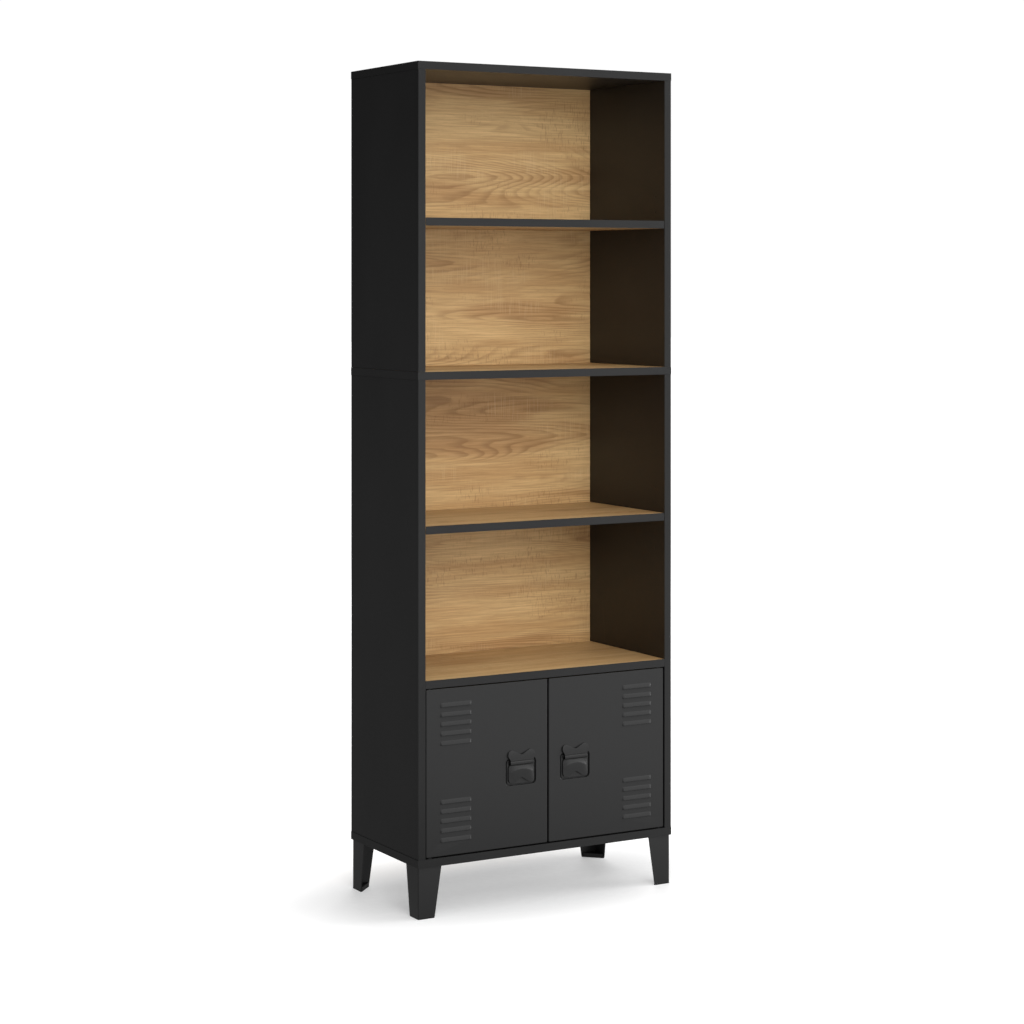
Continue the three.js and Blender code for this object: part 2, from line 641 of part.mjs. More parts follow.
// The section of a leg folded from sheet: two walls at a right angle, with the outer corner of the
// fold at the origin. Width is measured along each wall.
function foldedOutline(width) {
  const arc = (radius) => {
    return [0, 1, 2, 3].map((k) => {
      const angle = (-Math.PI / 2) * (1 + k / 3);
      return new THREE.Vector2(LEG_BEND + radius * Math.cos(angle), LEG_BEND + radius * Math.sin(angle));
    });
  };
  const outer = [new THREE.Vector2(width, 0), ...arc(LEG_BEND), new THREE.Vector2(0, width)];
  const inner = [
    new THREE.Vector2(LEG_SHEET, width),
    ...arc(LEG_BEND - LEG_SHEET).reverse(),
    new THREE.Vector2(width, LEG_SHEET),
  ];
  return [...outer, ...inner].reverse();
}

// A plate that fills the leg's corner, cut off between two noses at the walls' free edges.
function cornerPlate(width, inset, nose, z) {
  const low = inset;
  const high = width - inset;
  const tip = low + nose;
  const outline = [[low, low], [high, low], [high, tip], [tip, high], [low, high]];
  const points = outline.map(([x, y]) => new THREE.Vector2(x, y));
  return toSolid(loft([{ at: z[0], outline: points }, { at: z[1], outline: points }]));
}

function leg() {
  const top = LEG_HEIGHT - SEAM;
  const walls = toSolid(
    loft([
      { at: GLIDE_SOLE, outline: foldedOutline(LEG_FOOT_WIDTH) },
      { at: top, outline: foldedOutline(LEG_TOP_WIDTH) },
    ]),
  );
  const flange = cornerPlate(LEG_TOP_WIDTH, LEG_SHEET / 2, LEG_FLANGE_NOSE, [top - LEG_SHEET, top]);
  const near = LEG_SCREW_LINE;
  const far = LEG_TOP_WIDTH - LEG_SCREW_LINE;
  const screwHoles = [[near, near], [far, near], [near, far]].map(([x, y]) => {
    return uprightRod(LEG_SCREW_RADIUS, x, y, [top - OVERRUN, top + OVERRUN], SMALL_SIDES);
  });
  return cut(walls.add(flange), screwHoles);
}

// A moulded foot: a sole under the walls and a block that plugs in between them.
function glide() {
  const sole = cornerPlate(LEG_FOOT_WIDTH, GLIDE_INSET, GLIDE_NOSE, [0, GLIDE_SOLE - SEAM]);
  const inside = LEG_SHEET + GLIDE_CLEARANCE;
  return sole.add(cornerPlate(LEG_FOOT_WIDTH, inside, GLIDE_NOSE, [GLIDE_SOLE / 2, GLIDE_HEIGHT]));
}

function legs() {
  bothSides((group, side) => {
    for (const end of ["front", "rear"]) {
      const corner = new THREE.Group();
      const hand = end === "front" ? 1 : -1;
      corner.position.set(LEG_INSET_SIDE - WIDTH / 2, hand * (FRONT + LEG_INSET_END), 0);
      corner.scale.y = hand;
      group.add(corner);
      place(corner, side + "_" + end + "_leg", leg(), "blackSteel");
      place(corner, side + "_" + end + "_glide", glide(), "nylon");
    }
  });
}

// ---- Wall fixing ----

function wallAngle() {
  const x = [-SIDE_INNER + ANGLE_FROM_SIDE, -SIDE_INNER + ANGLE_FROM_SIDE + ANGLE_WIDTH];
  const rear = BACK_FACE - SEAM;
  const top = TOP_PANEL - SEAM;
  const flat = box(x, [rear - ANGLE_LEAF, rear], [top - ANGLE_SHEET, top]);
  const upright = box(x, [rear - ANGLE_SHEET, rear], [top - ANGLE_LEAF, top]);
  const holeX = (x[0] + x[1]) / 2;
  const holePlace = ANGLE_LEAF * ANGLE_HOLE_PLACE;
  const up = uprightRod(ANGLE_HOLE_RADIUS, holeX, rear - holePlace, [top - OVERRUN, top + OVERRUN], SMALL_SIDES);
  const through = roundedPlate(
    holeX, top - holePlace, 2 * ANGLE_HOLE_RADIUS, 3 * ANGLE_HOLE_RADIUS, ANGLE_HOLE_RADIUS * 0.99,
    [rear - OVERRUN, rear + OVERRUN],
  );
  place(bookcase, "wall_angle", cut(flat.add(upright), [up, through]), "zincSteel");
}

widePanels();
sidePanels();
backBoard("upper_back_board", MIDDLE_PANEL + BOARD, TOP_PANEL);
backBoard("lower_back_board", BOTTOM_TOP, MIDDLE_PANEL);
bandedShelf("upper_shelf", UPPER_SHELF, SHELF_END_GAP, pinGrooves(UPPER_SHELF));
bandedShelf("lower_shelf", LOWER_SHELF, SHELF_END_GAP, pinGrooves(LOWER_SHELF));
shelfPins("upper_shelf", UPPER_SHELF);
shelfPins("lower_shelf", LOWER_SHELF);
cabinetShelf();
doors();
legs();
wallAngle();

export default bookcase;
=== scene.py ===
"""Finished look of a tall bookcase: oak boards in a black case over two louvred steel doors.

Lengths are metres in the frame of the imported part: +Z up, doors facing -Y, origin on the floor
under the middle. Places come from the boxes of the part's own nodes.
"""

import logging
import math
from dataclasses import dataclass
from enum import Enum

import bmesh
import bpy
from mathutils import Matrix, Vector


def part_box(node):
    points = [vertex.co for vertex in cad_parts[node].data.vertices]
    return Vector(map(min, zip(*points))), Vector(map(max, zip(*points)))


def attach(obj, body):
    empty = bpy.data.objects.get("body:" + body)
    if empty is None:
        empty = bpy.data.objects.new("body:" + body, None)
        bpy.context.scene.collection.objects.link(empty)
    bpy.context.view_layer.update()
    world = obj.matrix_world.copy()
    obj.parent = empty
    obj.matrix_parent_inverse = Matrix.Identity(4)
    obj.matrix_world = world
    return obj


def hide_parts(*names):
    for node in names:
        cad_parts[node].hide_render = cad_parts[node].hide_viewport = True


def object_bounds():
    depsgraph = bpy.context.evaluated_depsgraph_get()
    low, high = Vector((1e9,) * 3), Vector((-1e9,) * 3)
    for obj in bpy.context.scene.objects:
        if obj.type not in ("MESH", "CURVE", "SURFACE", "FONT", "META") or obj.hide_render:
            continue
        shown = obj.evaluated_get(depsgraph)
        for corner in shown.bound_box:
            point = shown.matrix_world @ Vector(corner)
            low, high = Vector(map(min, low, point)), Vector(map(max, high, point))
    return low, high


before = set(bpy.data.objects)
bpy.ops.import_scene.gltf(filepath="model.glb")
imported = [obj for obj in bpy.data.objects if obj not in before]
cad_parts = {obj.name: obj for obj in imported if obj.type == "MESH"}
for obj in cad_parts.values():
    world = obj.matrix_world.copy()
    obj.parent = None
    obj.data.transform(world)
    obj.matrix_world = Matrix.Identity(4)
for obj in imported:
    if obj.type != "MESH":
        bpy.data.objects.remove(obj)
CAD_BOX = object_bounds()

MM = 0.001
SAME_POINT = 1e-6  # vertices closer than this are one

Socket = bpy.types.NodeSocket
Vert = bmesh.types.BMVert
Triple = tuple[float, float, float]
Pair = tuple[float, float]

logging.basicConfig(level=logging.INFO, format="%(message)s")
log = logging.getLogger("bookcase")


class Side(Enum):
    """The two hands of the bookcase; the value is the sign of X."""

    LEFT = -1
    RIGHT = 1

    @property
    def word(self) -> str:
        """The hand as it stands in node names."""
        return self.name.lower()


class End(Enum):
    """Front and rear; the value is the sign of Y."""

    FRONT = -1
    REAR = 1

    @property
    def word(self) -> str:
        """The end as it stands in node names."""
        return self.name.lower()


# ---------------------------------------------------------------- finishes


class NodeGraph:
    """A node tree under construction, with short ways to add nodes."""

    def __init__(self, tree: bpy.types.NodeTree) -> None:
        """Works on a tree.

        Args:
            tree: the tree.
        """
        self.tree = tree

    def node(self, kind: str, **settings: object) -> bpy.types.Node:
        """Adds a node.

        Args:
            kind: the node type's identifier.
            settings: attributes of the node.

        Returns:
            The new node.
        """
        made = self.tree.nodes.new(kind)
        for name, value in settings.items():
            setattr(made, name, value)
        return made

    def link(self, source: Socket, target: Socket) -> None:
        """Joins an output to an input."""
        self.tree.links.new(source, target)

    def math(self, operation: str, *values: object) -> Socket:
        """A math node on sockets or numbers.

        Args:
            operation: the node's operation.
            values: its inputs, each a socket or a number.

        Returns:
            The result.
        """
        made = self.node("ShaderNodeMath", operation=operation)
        for socket, value in zip(made.inputs, values):
            if isinstance(value, Socket):
                self.link(value, socket)
            else:
                socket.default_value = value
        return made.outputs[0]

    def span(
        self, value: Socket, low: float, high: float, start: float = 0.0, end: float = 1.0
    ) -> Socket:
        """Maps a value smoothly from one range to another.

        Args:
            value: the socket to map.
            low: input that gives start.
            high: input that gives end.
            start: output at low.
            end: output at high.

        Returns:
            The mapped value.
        """
        made = self.node("ShaderNodeMapRange", interpolation_type="SMOOTHSTEP")
        numbers = {"From Min": low, "From Max": high, "To Min": start, "To Max": end}
        for name, number in numbers.items():
            made.inputs[name].default_value = number
        self.link(value, made.inputs["Value"])
        return made.outputs["Result"]

    def along(self, where: Socket, direction: Triple) -> Socket:
        """How far a place lies along a direction.

        Args:
            where: the place.
            direction: the direction.

        Returns:
            The distance.
        """
        made = self.node("ShaderNodeVectorMath", operation="DOT_PRODUCT")
        made.inputs[1].default_value = direction
        self.link(where, made.inputs[0])
        return made.outputs["Value"]

    def split_rays(
        self, shown: Socket, lighting: Socket, output: bpy.types.Node
    ) -> None:
        """Shows one surface directly and lights the bookcase with another.

        Args:
            shown: the shader that is seen directly.
            lighting: the shader that every other ray meets.
            output: the tree's output node.
        """
        path = self.node("ShaderNodeLightPath")
        mix = self.node("ShaderNodeMixShader")
        self.link(path.outputs["Is Camera Ray"], mix.inputs["Fac"])
        self.link(lighting, mix.inputs[1])
        self.link(shown, mix.inputs[2])
        self.link(mix.outputs["Shader"], output.inputs["Surface"])


class Shader(NodeGraph):
    """A material under construction, around one Principled shader."""

    def __init__(self, name: str) -> None:
        """Starts an empty material.

        Args:
            name: the material's name.
        """
        self.material = bpy.data.materials.new(name)
        self.material.use_nodes = True
        super().__init__(self.material.node_tree)
        self.surface = self.tree.nodes["Principled BSDF"]

    def set(self, **sockets: object) -> None:
        """Sets constant inputs of the Principled shader.

        Args:
            sockets: socket names with underscores for spaces, and their values.
        """
        for name, value in sockets.items():
            self.surface.inputs[name.replace("_", " ")].default_value = value

    def place(self, scale: Triple, offset: float = 0.0) -> Socket:
        """Object coordinates, scaled per axis.

        Args:
            scale: features per metre along X, Y and Z.
            offset: shift along every axis, so that pieces don't repeat each other.

        Returns:
            The scaled vector.
        """
        coords = self.node("ShaderNodeTexCoord")
        mapping = self.node("ShaderNodeMapping")
        mapping.inputs["Scale"].default_value = scale
        mapping.inputs["Location"].default_value = (offset, offset * 1.7, offset * 2.3)
        self.link(coords.outputs["Object"], mapping.inputs["Vector"])
        return mapping.outputs["Vector"]

    def noise(
        self, where: Socket, detail: float = 2.0, roughness: float = 0.5, bend: float = 0.0
    ) -> Socket:
        """A noise value from 0 to 1 at a place.

        Args:
            where: the vector to sample at.
            detail: octaves.
            roughness: weight of the fine octaves.
            bend: distortion.

        Returns:
            The noise factor.
        """
        made = self.node("ShaderNodeTexNoise")
        numbers = {"Scale": 1.0, "Detail": detail, "Roughness": roughness, "Distortion": bend}
        for name, number in numbers.items():
            made.inputs[name].default_value = number
        self.link(where, made.inputs["Vector"])
        return made.outputs["Fac"]

    def blend(self, amount: Socket, first: object, second: object) -> Socket:
        """Mixes two colours.

        Args:
            amount: 0 gives first, 1 gives second.
            first: a colour socket or an RGB tuple.
            second: a colour socket or an RGB tuple.

        Returns:
            The mixed colour.
        """
        made = self.node("ShaderNodeMix", data_type="RGBA", blend_type="MIX")
        self.link(amount, made.inputs["Factor"])
        for socket, value in zip((made.inputs[6], made.inputs[7]), (first, second)):
            if isinstance(value, Socket):
                self.link(value, socket)
            else:
                socket.default_value = (*value, 1.0)
        return made.outputs[2]

    def bump(self, height: Socket, depth: float) -> None:
        """Gives the surface a relief.

        Args:
            height: 0 to 1.
            depth: metres from 0 to 1.
        """
        made = self.node("ShaderNodeBump")
        made.inputs["Distance"].default_value = depth
        made.inputs["Strength"].default_value = 1.0
        self.link(height, made.inputs["Height"])
        self.link(made.outputs["Normal"], self.surface.inputs["Normal"])

    def colour(self, socket: Socket) -> None:
        """Uses a colour as the base colour."""
        self.link(socket, self.surface.inputs["Base Color"])

    def roughness(self, socket: Socket) -> None:
        """Uses a value as the roughness."""
        self.link(socket, self.surface.inputs["Roughness"])


@dataclass(frozen=True)
class BlackMelamine:
    """Matt black melamine face of the case boards: an even, very fine pebble."""

    name: str = "black_melamine"
    tone: float = 0.0062
    lift: float = 0.003
    gloss_low: float = 0.40
    gloss_high: float = 0.50
    shine: float = 0.40
    pebble_per_metre: float = 900.0
    pebble_depth: float = 0.00002

    def material(self) -> bpy.types.Material:
        """Builds the material.

        Returns:
            The material.
        """
        shader = Shader(self.name)
        pebble = shader.noise(shader.place((self.pebble_per_metre,) * 3), detail=3.0)
        cloud = shader.noise(shader.place((5.0, 5.0, 3.0)), detail=2.0)
        tone = (self.tone, self.tone, self.tone * 1.01)
        light = tuple(channel + self.lift for channel in tone)
        shader.colour(shader.blend(shader.span(cloud, 0.3, 0.7), tone, light))
        shader.roughness(shader.span(pebble, 0.3, 0.7, self.gloss_low, self.gloss_high))
        shader.bump(pebble, self.pebble_depth)
        shader.set(Specular_IOR_Level=self.shine)
        return shader.material


@dataclass(frozen=True)
class PowderCoat:
    """Charcoal powder coat on pressed sheet: satin, with a faint orange peel."""

    name: str = "charcoal_powder_coat"
    tone: float = 0.0097
    gloss_low: float = 0.33
    gloss_high: float = 0.40
    peel_per_metre: float = 420.0
    peel_depth: float = 0.00004
    speck_per_metre: float = 2600.0

    def material(self) -> bpy.types.Material:
        """Builds the material.

        Returns:
            The material.
        """
        shader = Shader(self.name)
        peel = shader.noise(shader.place((self.peel_per_metre,) * 3), detail=1.5)
        speck = shader.noise(shader.place((self.speck_per_metre,) * 3), detail=1.0)
        dark = (self.tone * 0.85, self.tone * 0.85, self.tone * 0.86)
        light = (self.tone * 1.15, self.tone * 1.15, self.tone * 1.16)
        shader.colour(shader.blend(shader.span(speck, 0.4, 0.65), dark, light))
        shader.roughness(shader.span(peel, 0.3, 0.7, self.gloss_low, self.gloss_high))
        shader.bump(peel, self.peel_depth)
        return shader.material


@dataclass(frozen=True)
class Grain:
    """A noise field of the facing: features per metre along and across the grain, and its shift."""

    along: float
    across: float
    shift: float = 0.0
    detail: float = 2.0
    roughness: float = 0.5
    bend: float = 0.0


@dataclass(frozen=True)
class OakPrint:
    """Rustic oak facing with its grain along X: bands, flames, fibres, short ticks and saw marks.

    The field shift moves the pattern, so that each board is a different stretch of timber.
    """

    name: str
    shift: float
    pale: Triple = (0.61, 0.415, 0.195)
    tan: Triple = (0.51, 0.32, 0.14)
    brown: Triple = (0.23, 0.115, 0.042)
    sawn: Triple = (0.68, 0.49, 0.27)
    rust: Triple = (0.42, 0.225, 0.09)
    # Painted light: a gain on the pale and tan colours that draws a lighter copy of the oak.
    fairness: float = 1.0
    bands: Grain = Grain(2.4, 24.0, 3.0, 3.0, 0.6)
    zones: Grain = Grain(1.9, 13.0, 11.0)
    rust_strength: float = 0.60
    threads: Grain = Grain(7.0, 230.0, 19.0)
    thread_strength: float = 0.22
    fibres: Grain = Grain(14.0, 560.0, 0.0, 3.0, 0.65)
    fibre_strength: float = 0.26
    ring_field: Grain = Grain(1.2, 11.0, 0.0, 1.0, 0.35, 0.15)
    ring_ripple: Grain = Grain(14.0, 70.0, 7.0)
    ripple_strength: float = 0.022
    rings: float = 34.0
    ring_faintest: float = 0.06
    ring_strength: float = 0.52
    ticks: Grain = Grain(330.0, 60.0, 5.0, 2.0, 0.6)
    tick_patches: Grain = Grain(5.0, 15.0, 23.0)
    dashes: Grain = Grain(60.0, 1000.0, 29.0, 2.0, 0.6)
    dash_strength: float = 0.6
    tick_strength: float = 0.45
    tick_depth: float = 0.8
    saw_lines: Grain = Grain(520.0, 14.0, 2.0, 2.0, 0.6)
    saw_patches: Grain = Grain(6.0, 13.0, 13.0, 1.0)
    saw_strength: float = 0.30
    gloss_low: float = 0.46
    gloss_high: float = 0.60
    relief: float = 0.00005

    def material(self) -> bpy.types.Material:
        """Builds the material.

        Returns:
            The material.
        """
        shader = Shader(self.name)
        fibres = self._sample(shader, self.fibres)
        zones = self._sample(shader, self.zones)
        ticks = self._ticks(shader)
        tan = tuple(channel * self.fairness for channel in self.tan)
        pale = tuple(channel * self.fairness for channel in self.pale)
        colour = shader.blend(shader.span(self._sample(shader, self.bands), 0.34, 0.62), tan, pale)
        colour = shader.blend(shader.span(zones, 0.52, 0.68, 0.0, self.rust_strength), colour, self.rust)
        threads = shader.span(self._sample(shader, self.threads), 0.66, 0.36, 0.0, self.thread_strength)
        colour = shader.blend(threads, colour, self.brown)
        shown = shader.span(zones, 0.44, 0.64, self.ring_faintest, self.ring_strength)
        colour = shader.blend(shader.math("MULTIPLY", self._ring_lines(shader), shown), colour, self.brown)
        colour = shader.blend(shader.span(fibres, 0.62, 0.35, 0.0, self.fibre_strength), colour, self.brown)
        colour = shader.blend(shader.math("MULTIPLY", ticks, self.tick_strength), colour, self.brown)
        marks = shader.math("MULTIPLY", self._saw_marks(shader), self.saw_strength)
        shader.colour(shader.blend(marks, colour, self.sawn))
        shader.roughness(shader.span(fibres, 0.3, 0.7, self.gloss_high, self.gloss_low))
        height = shader.math("SUBTRACT", fibres, shader.math("MULTIPLY", ticks, self.tick_depth))
        shader.bump(height, self.relief)
        return shader.material

    def _sample(self, shader: Shader, grain: Grain) -> Socket:
        """One noise field, moved with the board's stretch of timber."""
        where = shader.place((grain.along, grain.across, grain.across), self.shift + grain.shift)
        return shader.noise(where, grain.detail, grain.roughness, grain.bend)

    def _ring_lines(self, shader: Shader) -> Socket:
        """Growth rings as thin wavy contour lines of a slow field: long ovals and straight runs.

        Args:
            shader: the material under construction.

        Returns:
            1 on a line and 0 between the lines.
        """
        ripple = shader.math("MULTIPLY", self._sample(shader, self.ring_ripple), self.ripple_strength)
        bent = shader.math("ADD", self._sample(shader, self.ring_field), ripple)
        saw = shader.math("FRACT", shader.math("MULTIPLY", bent, self.rings))
        return shader.math("MULTIPLY", shader.span(saw, 0.30, 0.85), shader.span(saw, 0.85, 1.0, 1.0, 0.0))

    def _ticks(self, shader: Shader) -> Socket:
        """Short dark ticks across the grain in patches, and fine dashes along it everywhere.

        Args:
            shader: the material under construction.

        Returns:
            1 on a tick and 0 beside it.
        """
        across = shader.span(self._sample(shader, self.ticks), 0.55, 0.68)
        patches = shader.span(self._sample(shader, self.tick_patches), 0.50, 0.62)
        dashes = shader.span(self._sample(shader, self.dashes), 0.58, 0.74, 0.0, self.dash_strength)
        return shader.math("MAXIMUM", shader.math("MULTIPLY", across, patches), dashes)

    def _saw_marks(self, shader: Shader) -> Socket:
        """Fine pale lines across the grain, in patches.

        Args:
            shader: the material under construction.

        Returns:
            1 on a mark and 0 beside it.
        """
        lines = shader.span(self._sample(shader, self.saw_lines), 0.5, 0.66)
        patches = shader.span(self._sample(shader, self.saw_patches), 0.52, 0.64)
        return shader.math("MULTIPLY", lines, patches)


@dataclass(frozen=True)
class ZincPlate:
    """Bright zinc on pins and angles, with a slight cloud."""

    name: str = "zinc_plate"
    tone: float = 0.55

    def material(self) -> bpy.types.Material:
        """Builds the material.

        Returns:
            The material.
        """
        shader = Shader(self.name)
        cloud = shader.noise(shader.place((160.0,) * 3), detail=3.0)
        dark = (self.tone * 0.85, self.tone * 0.87, self.tone * 0.9)
        light = (self.tone, self.tone, self.tone * 1.03)
        shader.set(Metallic=1.0)
        shader.colour(shader.blend(shader.span(cloud, 0.3, 0.7), dark, light))
        shader.roughness(shader.span(cloud, 0.3, 0.7, 0.25, 0.38))
        return shader.material


@dataclass(frozen=True)
class MouldedNylon:
    """Black moulded nylon with a fine spark texture."""

    name: str = "black_nylon"
    tone: float = 0.004

    def material(self) -> bpy.types.Material:
        """Builds the material.

        Returns:
            The material.
        """
        shader = Shader(self.name)
        spark = shader.noise(shader.place((1500.0,) * 3), detail=2.0)
        dark = (self.tone,) * 3
        light = (self.tone * 1.5,) * 3
        shader.colour(shader.blend(shader.span(spark, 0.35, 0.65), dark, light))
        shader.roughness(shader.span(spark, 0.3, 0.7, 0.5, 0.62))
        shader.bump(spark, 0.00002)
        return shader.material


@dataclass(frozen=True)
class Beech:
    """Raw beech of the dowels, with fine flecks along X."""

    name: str = "raw_beech"

    def material(self) -> bpy.types.Material:
        """Builds the material.

        Returns:
            The material.
        """
        shader = Shader(self.name)
        fleck = shader.noise(shader.place((90.0, 900.0, 900.0)), detail=2.0)
        shader.colour(shader.blend(shader.span(fleck, 0.35, 0.7), (0.62, 0.44, 0.27), (0.42, 0.26, 0.14)))
        shader.roughness(shader.span(fleck, 0.3, 0.7, 0.6, 0.75))
        return shader.material


class Finishes:
    """Every material of the bookcase, made once."""

    def __init__(self) -> None:
        """Builds the materials."""
        self.board = BlackMelamine().material()
        self.strip = BlackMelamine(name="black_edge_strip", tone=0.008).material()
        self.steel = PowderCoat().material()
        # Painted light: the legs take a lighter copy of the door's powder coat, making up for light that
        # falls short of them near the floor.
        self.leg_steel = PowderCoat(name="charcoal_leg_coat", tone=0.0135).material()
        self.zinc = ZincPlate().material()
        self.nylon = MouldedNylon().material()
        self.beech = Beech().material()

    def oak(self, name: str, shift: float, fairness: float = 1.0) -> bpy.types.Material:
        """Another stretch of the oak facing.

        Args:
            name: the piece that it faces.
            shift: where along the timber it is cut.
            fairness: how much lighter this copy of the oak is drawn, painted light for a board that should
                look more brightly lit.

        Returns:
            The material.
        """
        return OakPrint(name="oak_" + name, shift=shift, fairness=fairness).material()


# ---------------------------------------------------------------- mesh making


Ring = list[int]


class PieceMesh:
    """The vertices and faces of one piece, built from rings of points."""

    def __init__(self, name: str) -> None:
        """Starts an empty mesh.

        Args:
            name: the piece's name.
        """
        self.name = name
        self.points: list[Vector] = []
        self.faces: list[tuple[int, ...]] = []

    def ring(self, points: list[Vector]) -> Ring:
        """Adds points.

        Args:
            points: the points in order.

        Returns:
            Their numbers.
        """
        start = len(self.points)
        self.points.extend(points)
        return list(range(start, start + len(points)))

    def bridge(self, first: Ring, second: Ring, closed: bool = True) -> None:
        """Joins two rings of the same length with a band of quads.

        Args:
            first: one ring.
            second: the other ring, in the same order.
            closed: whether the last point joins the first.
        """
        count = len(first)
        for i in range(count if closed else count - 1):
            j = (i + 1) % count
            self.faces.append((first[i], first[j], second[j], second[i]))

    def cap(self, ring: Ring) -> None:
        """Closes a ring with one face."""
        self.faces.append(tuple(ring))

    def stack(self, rings: list[list[Vector]]) -> None:
        """Bridges rings in order and closes the first and the last.

        Args:
            rings: rings of points, each of the same length.
        """
        numbered = [self.ring(points) for points in rings]
        for low, high in zip(numbered, numbered[1:]):
            self.bridge(low, high)
        self.cap(list(reversed(numbered[0])))
        self.cap(numbered[-1])

    def build(self, material: bpy.types.Material, flip: bool = False) -> bpy.types.Object:
        """Makes the object.

        Args:
            material: the finish.
            flip: whether to turn every face over, for a mirrored piece.

        Returns:
            The new object, linked to the scene.
        """
        mesh = bpy.data.meshes.new(self.name)
        mesh.from_pydata([tuple(p) for p in self.points], [], self.faces)
        if flip:
            mesh.flip_normals()
        return finish_mesh(mesh, material)


def finish_mesh(
    mesh: bpy.types.Mesh, material: bpy.types.Material, smooth: float = 35.0
) -> bpy.types.Object:
    """Cleans a mesh, shades it and links it as an object of the same name.

    Args:
        mesh: the mesh.
        material: its finish.
        smooth: edges up to this many degrees are shaded smooth.

    Returns:
        The object.
    """
    work = bmesh.new()
    work.from_mesh(mesh)
    bmesh.ops.remove_doubles(work, verts=work.verts, dist=SAME_POINT)
    limit = math.radians(smooth)
    for edge in work.edges:
        edge.smooth = len(edge.link_faces) != 2 or edge.calc_face_angle(0.0) < limit
    for face in work.faces:
        face.smooth = True
    work.to_mesh(mesh)
    work.free()
    mesh.validate()
    mesh.materials.append(material)
    piece = bpy.data.objects.new(mesh.name, mesh)
    bpy.context.scene.collection.objects.link(piece)
    return piece


def add_thickness(piece: bpy.types.Object, thickness: float, even: bool = True) -> None:
    """Gives a sheet its thickness, against its faces' normals.

    Args:
        piece: the sheet.
        thickness: metres.
        even: whether the thickness is kept through sharp bends, which only suits plain folds.
    """
    solid = piece.modifiers.new("sheet", "SOLIDIFY")
    solid.thickness = thickness
    solid.offset = -1.0
    solid.use_even_offset = even


def soften(piece: bpy.types.Object, width: float) -> None:
    """Rounds the sharp edges of a piece.

    Args:
        piece: the piece.
        width: width of the rounding in metres.
    """
    weld = piece.modifiers.new("weld", "WELD")
    weld.merge_threshold = SAME_POINT
    bevel = piece.modifiers.new("arris", "BEVEL")
    bevel.width = width
    bevel.segments = 2
    bevel.limit_method = "ANGLE"
    bevel.angle_limit = math.radians(40)
    bevel.harden_normals = False


def even_shading(piece: bpy.types.Object) -> None:
    """Keeps large flat faces flat beside small curved ones.

    Args:
        piece: the piece.
    """
    weighted = piece.modifiers.new("even", "WEIGHTED_NORMAL")
    weighted.keep_sharp = True
    weighted.weight = 100


def dress(node: str, material: bpy.types.Material, width: float = 0.0) -> None:
    """Gives a node of the part its finish, and rounds its edges.

    Args:
        node: the node's name.
        material: the finish.
        width: width of the rounded edges, or 0 for none.
    """
    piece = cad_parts[node]
    piece.data.materials.clear()
    piece.data.materials.append(material)
    if width > 0:
        soften(piece, width)
    log.info("dressed %s", node)


def add_piece(piece: bpy.types.Object, body: str, replaces: tuple[str, ...] = ()) -> None:
    """Says what a new piece rides on and stands for.

    Args:
        piece: the piece.
        body: the body that it moves with.
        replaces: the nodes that it stands for.
    """
    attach(piece, body)
    if replaces:
        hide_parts(*replaces)
    log.info("built %s on %s", piece.name, body)


def rounded_rectangle(width: float, height: float, radius: float, steps: int) -> list[Pair]:
    """Points round a rounded rectangle about the origin, anticlockwise.

    Args:
        width: full width.
        height: full height.
        radius: corner radius.
        steps: steps round each corner.

    Returns:
        Pairs of across and up.
    """
    points = []
    for quarter in range(4):
        across = (width / 2 - radius) * (1 if quarter in (0, 3) else -1)
        up = (height / 2 - radius) * (1 if quarter < 2 else -1)
        for step in range(steps + 1):
            angle = math.pi / 2 * (quarter + step / steps)
            points.append((across + radius * math.cos(angle), up + radius * math.sin(angle)))
    return points


def circle(radius: float, count: int) -> list[Pair]:
    """Points round a circle about the origin, anticlockwise."""
    angles = [2 * math.pi * i / count for i in range(count)]
    return [(radius * math.cos(angle), radius * math.sin(angle)) for angle in angles]


def quarter_turn(steps: int) -> list[Pair]:
    """Sine and cosine at even steps over a quarter turn."""
    angles = [math.pi / 2 * step / steps for step in range(steps + 1)]
    return [(math.sin(angle), math.cos(angle)) for angle in angles]


def ease(value: float) -> float:
    """A rise from 0 to 1 that starts and ends level."""
    held = min(1.0, max(0.0, value))
    return held * held * (3 - 2 * held)


# ---------------------------------------------------------------- case and shelves


SHANK_SHARE = 2.5 / 3.5  # a shelf pin's shank over its head


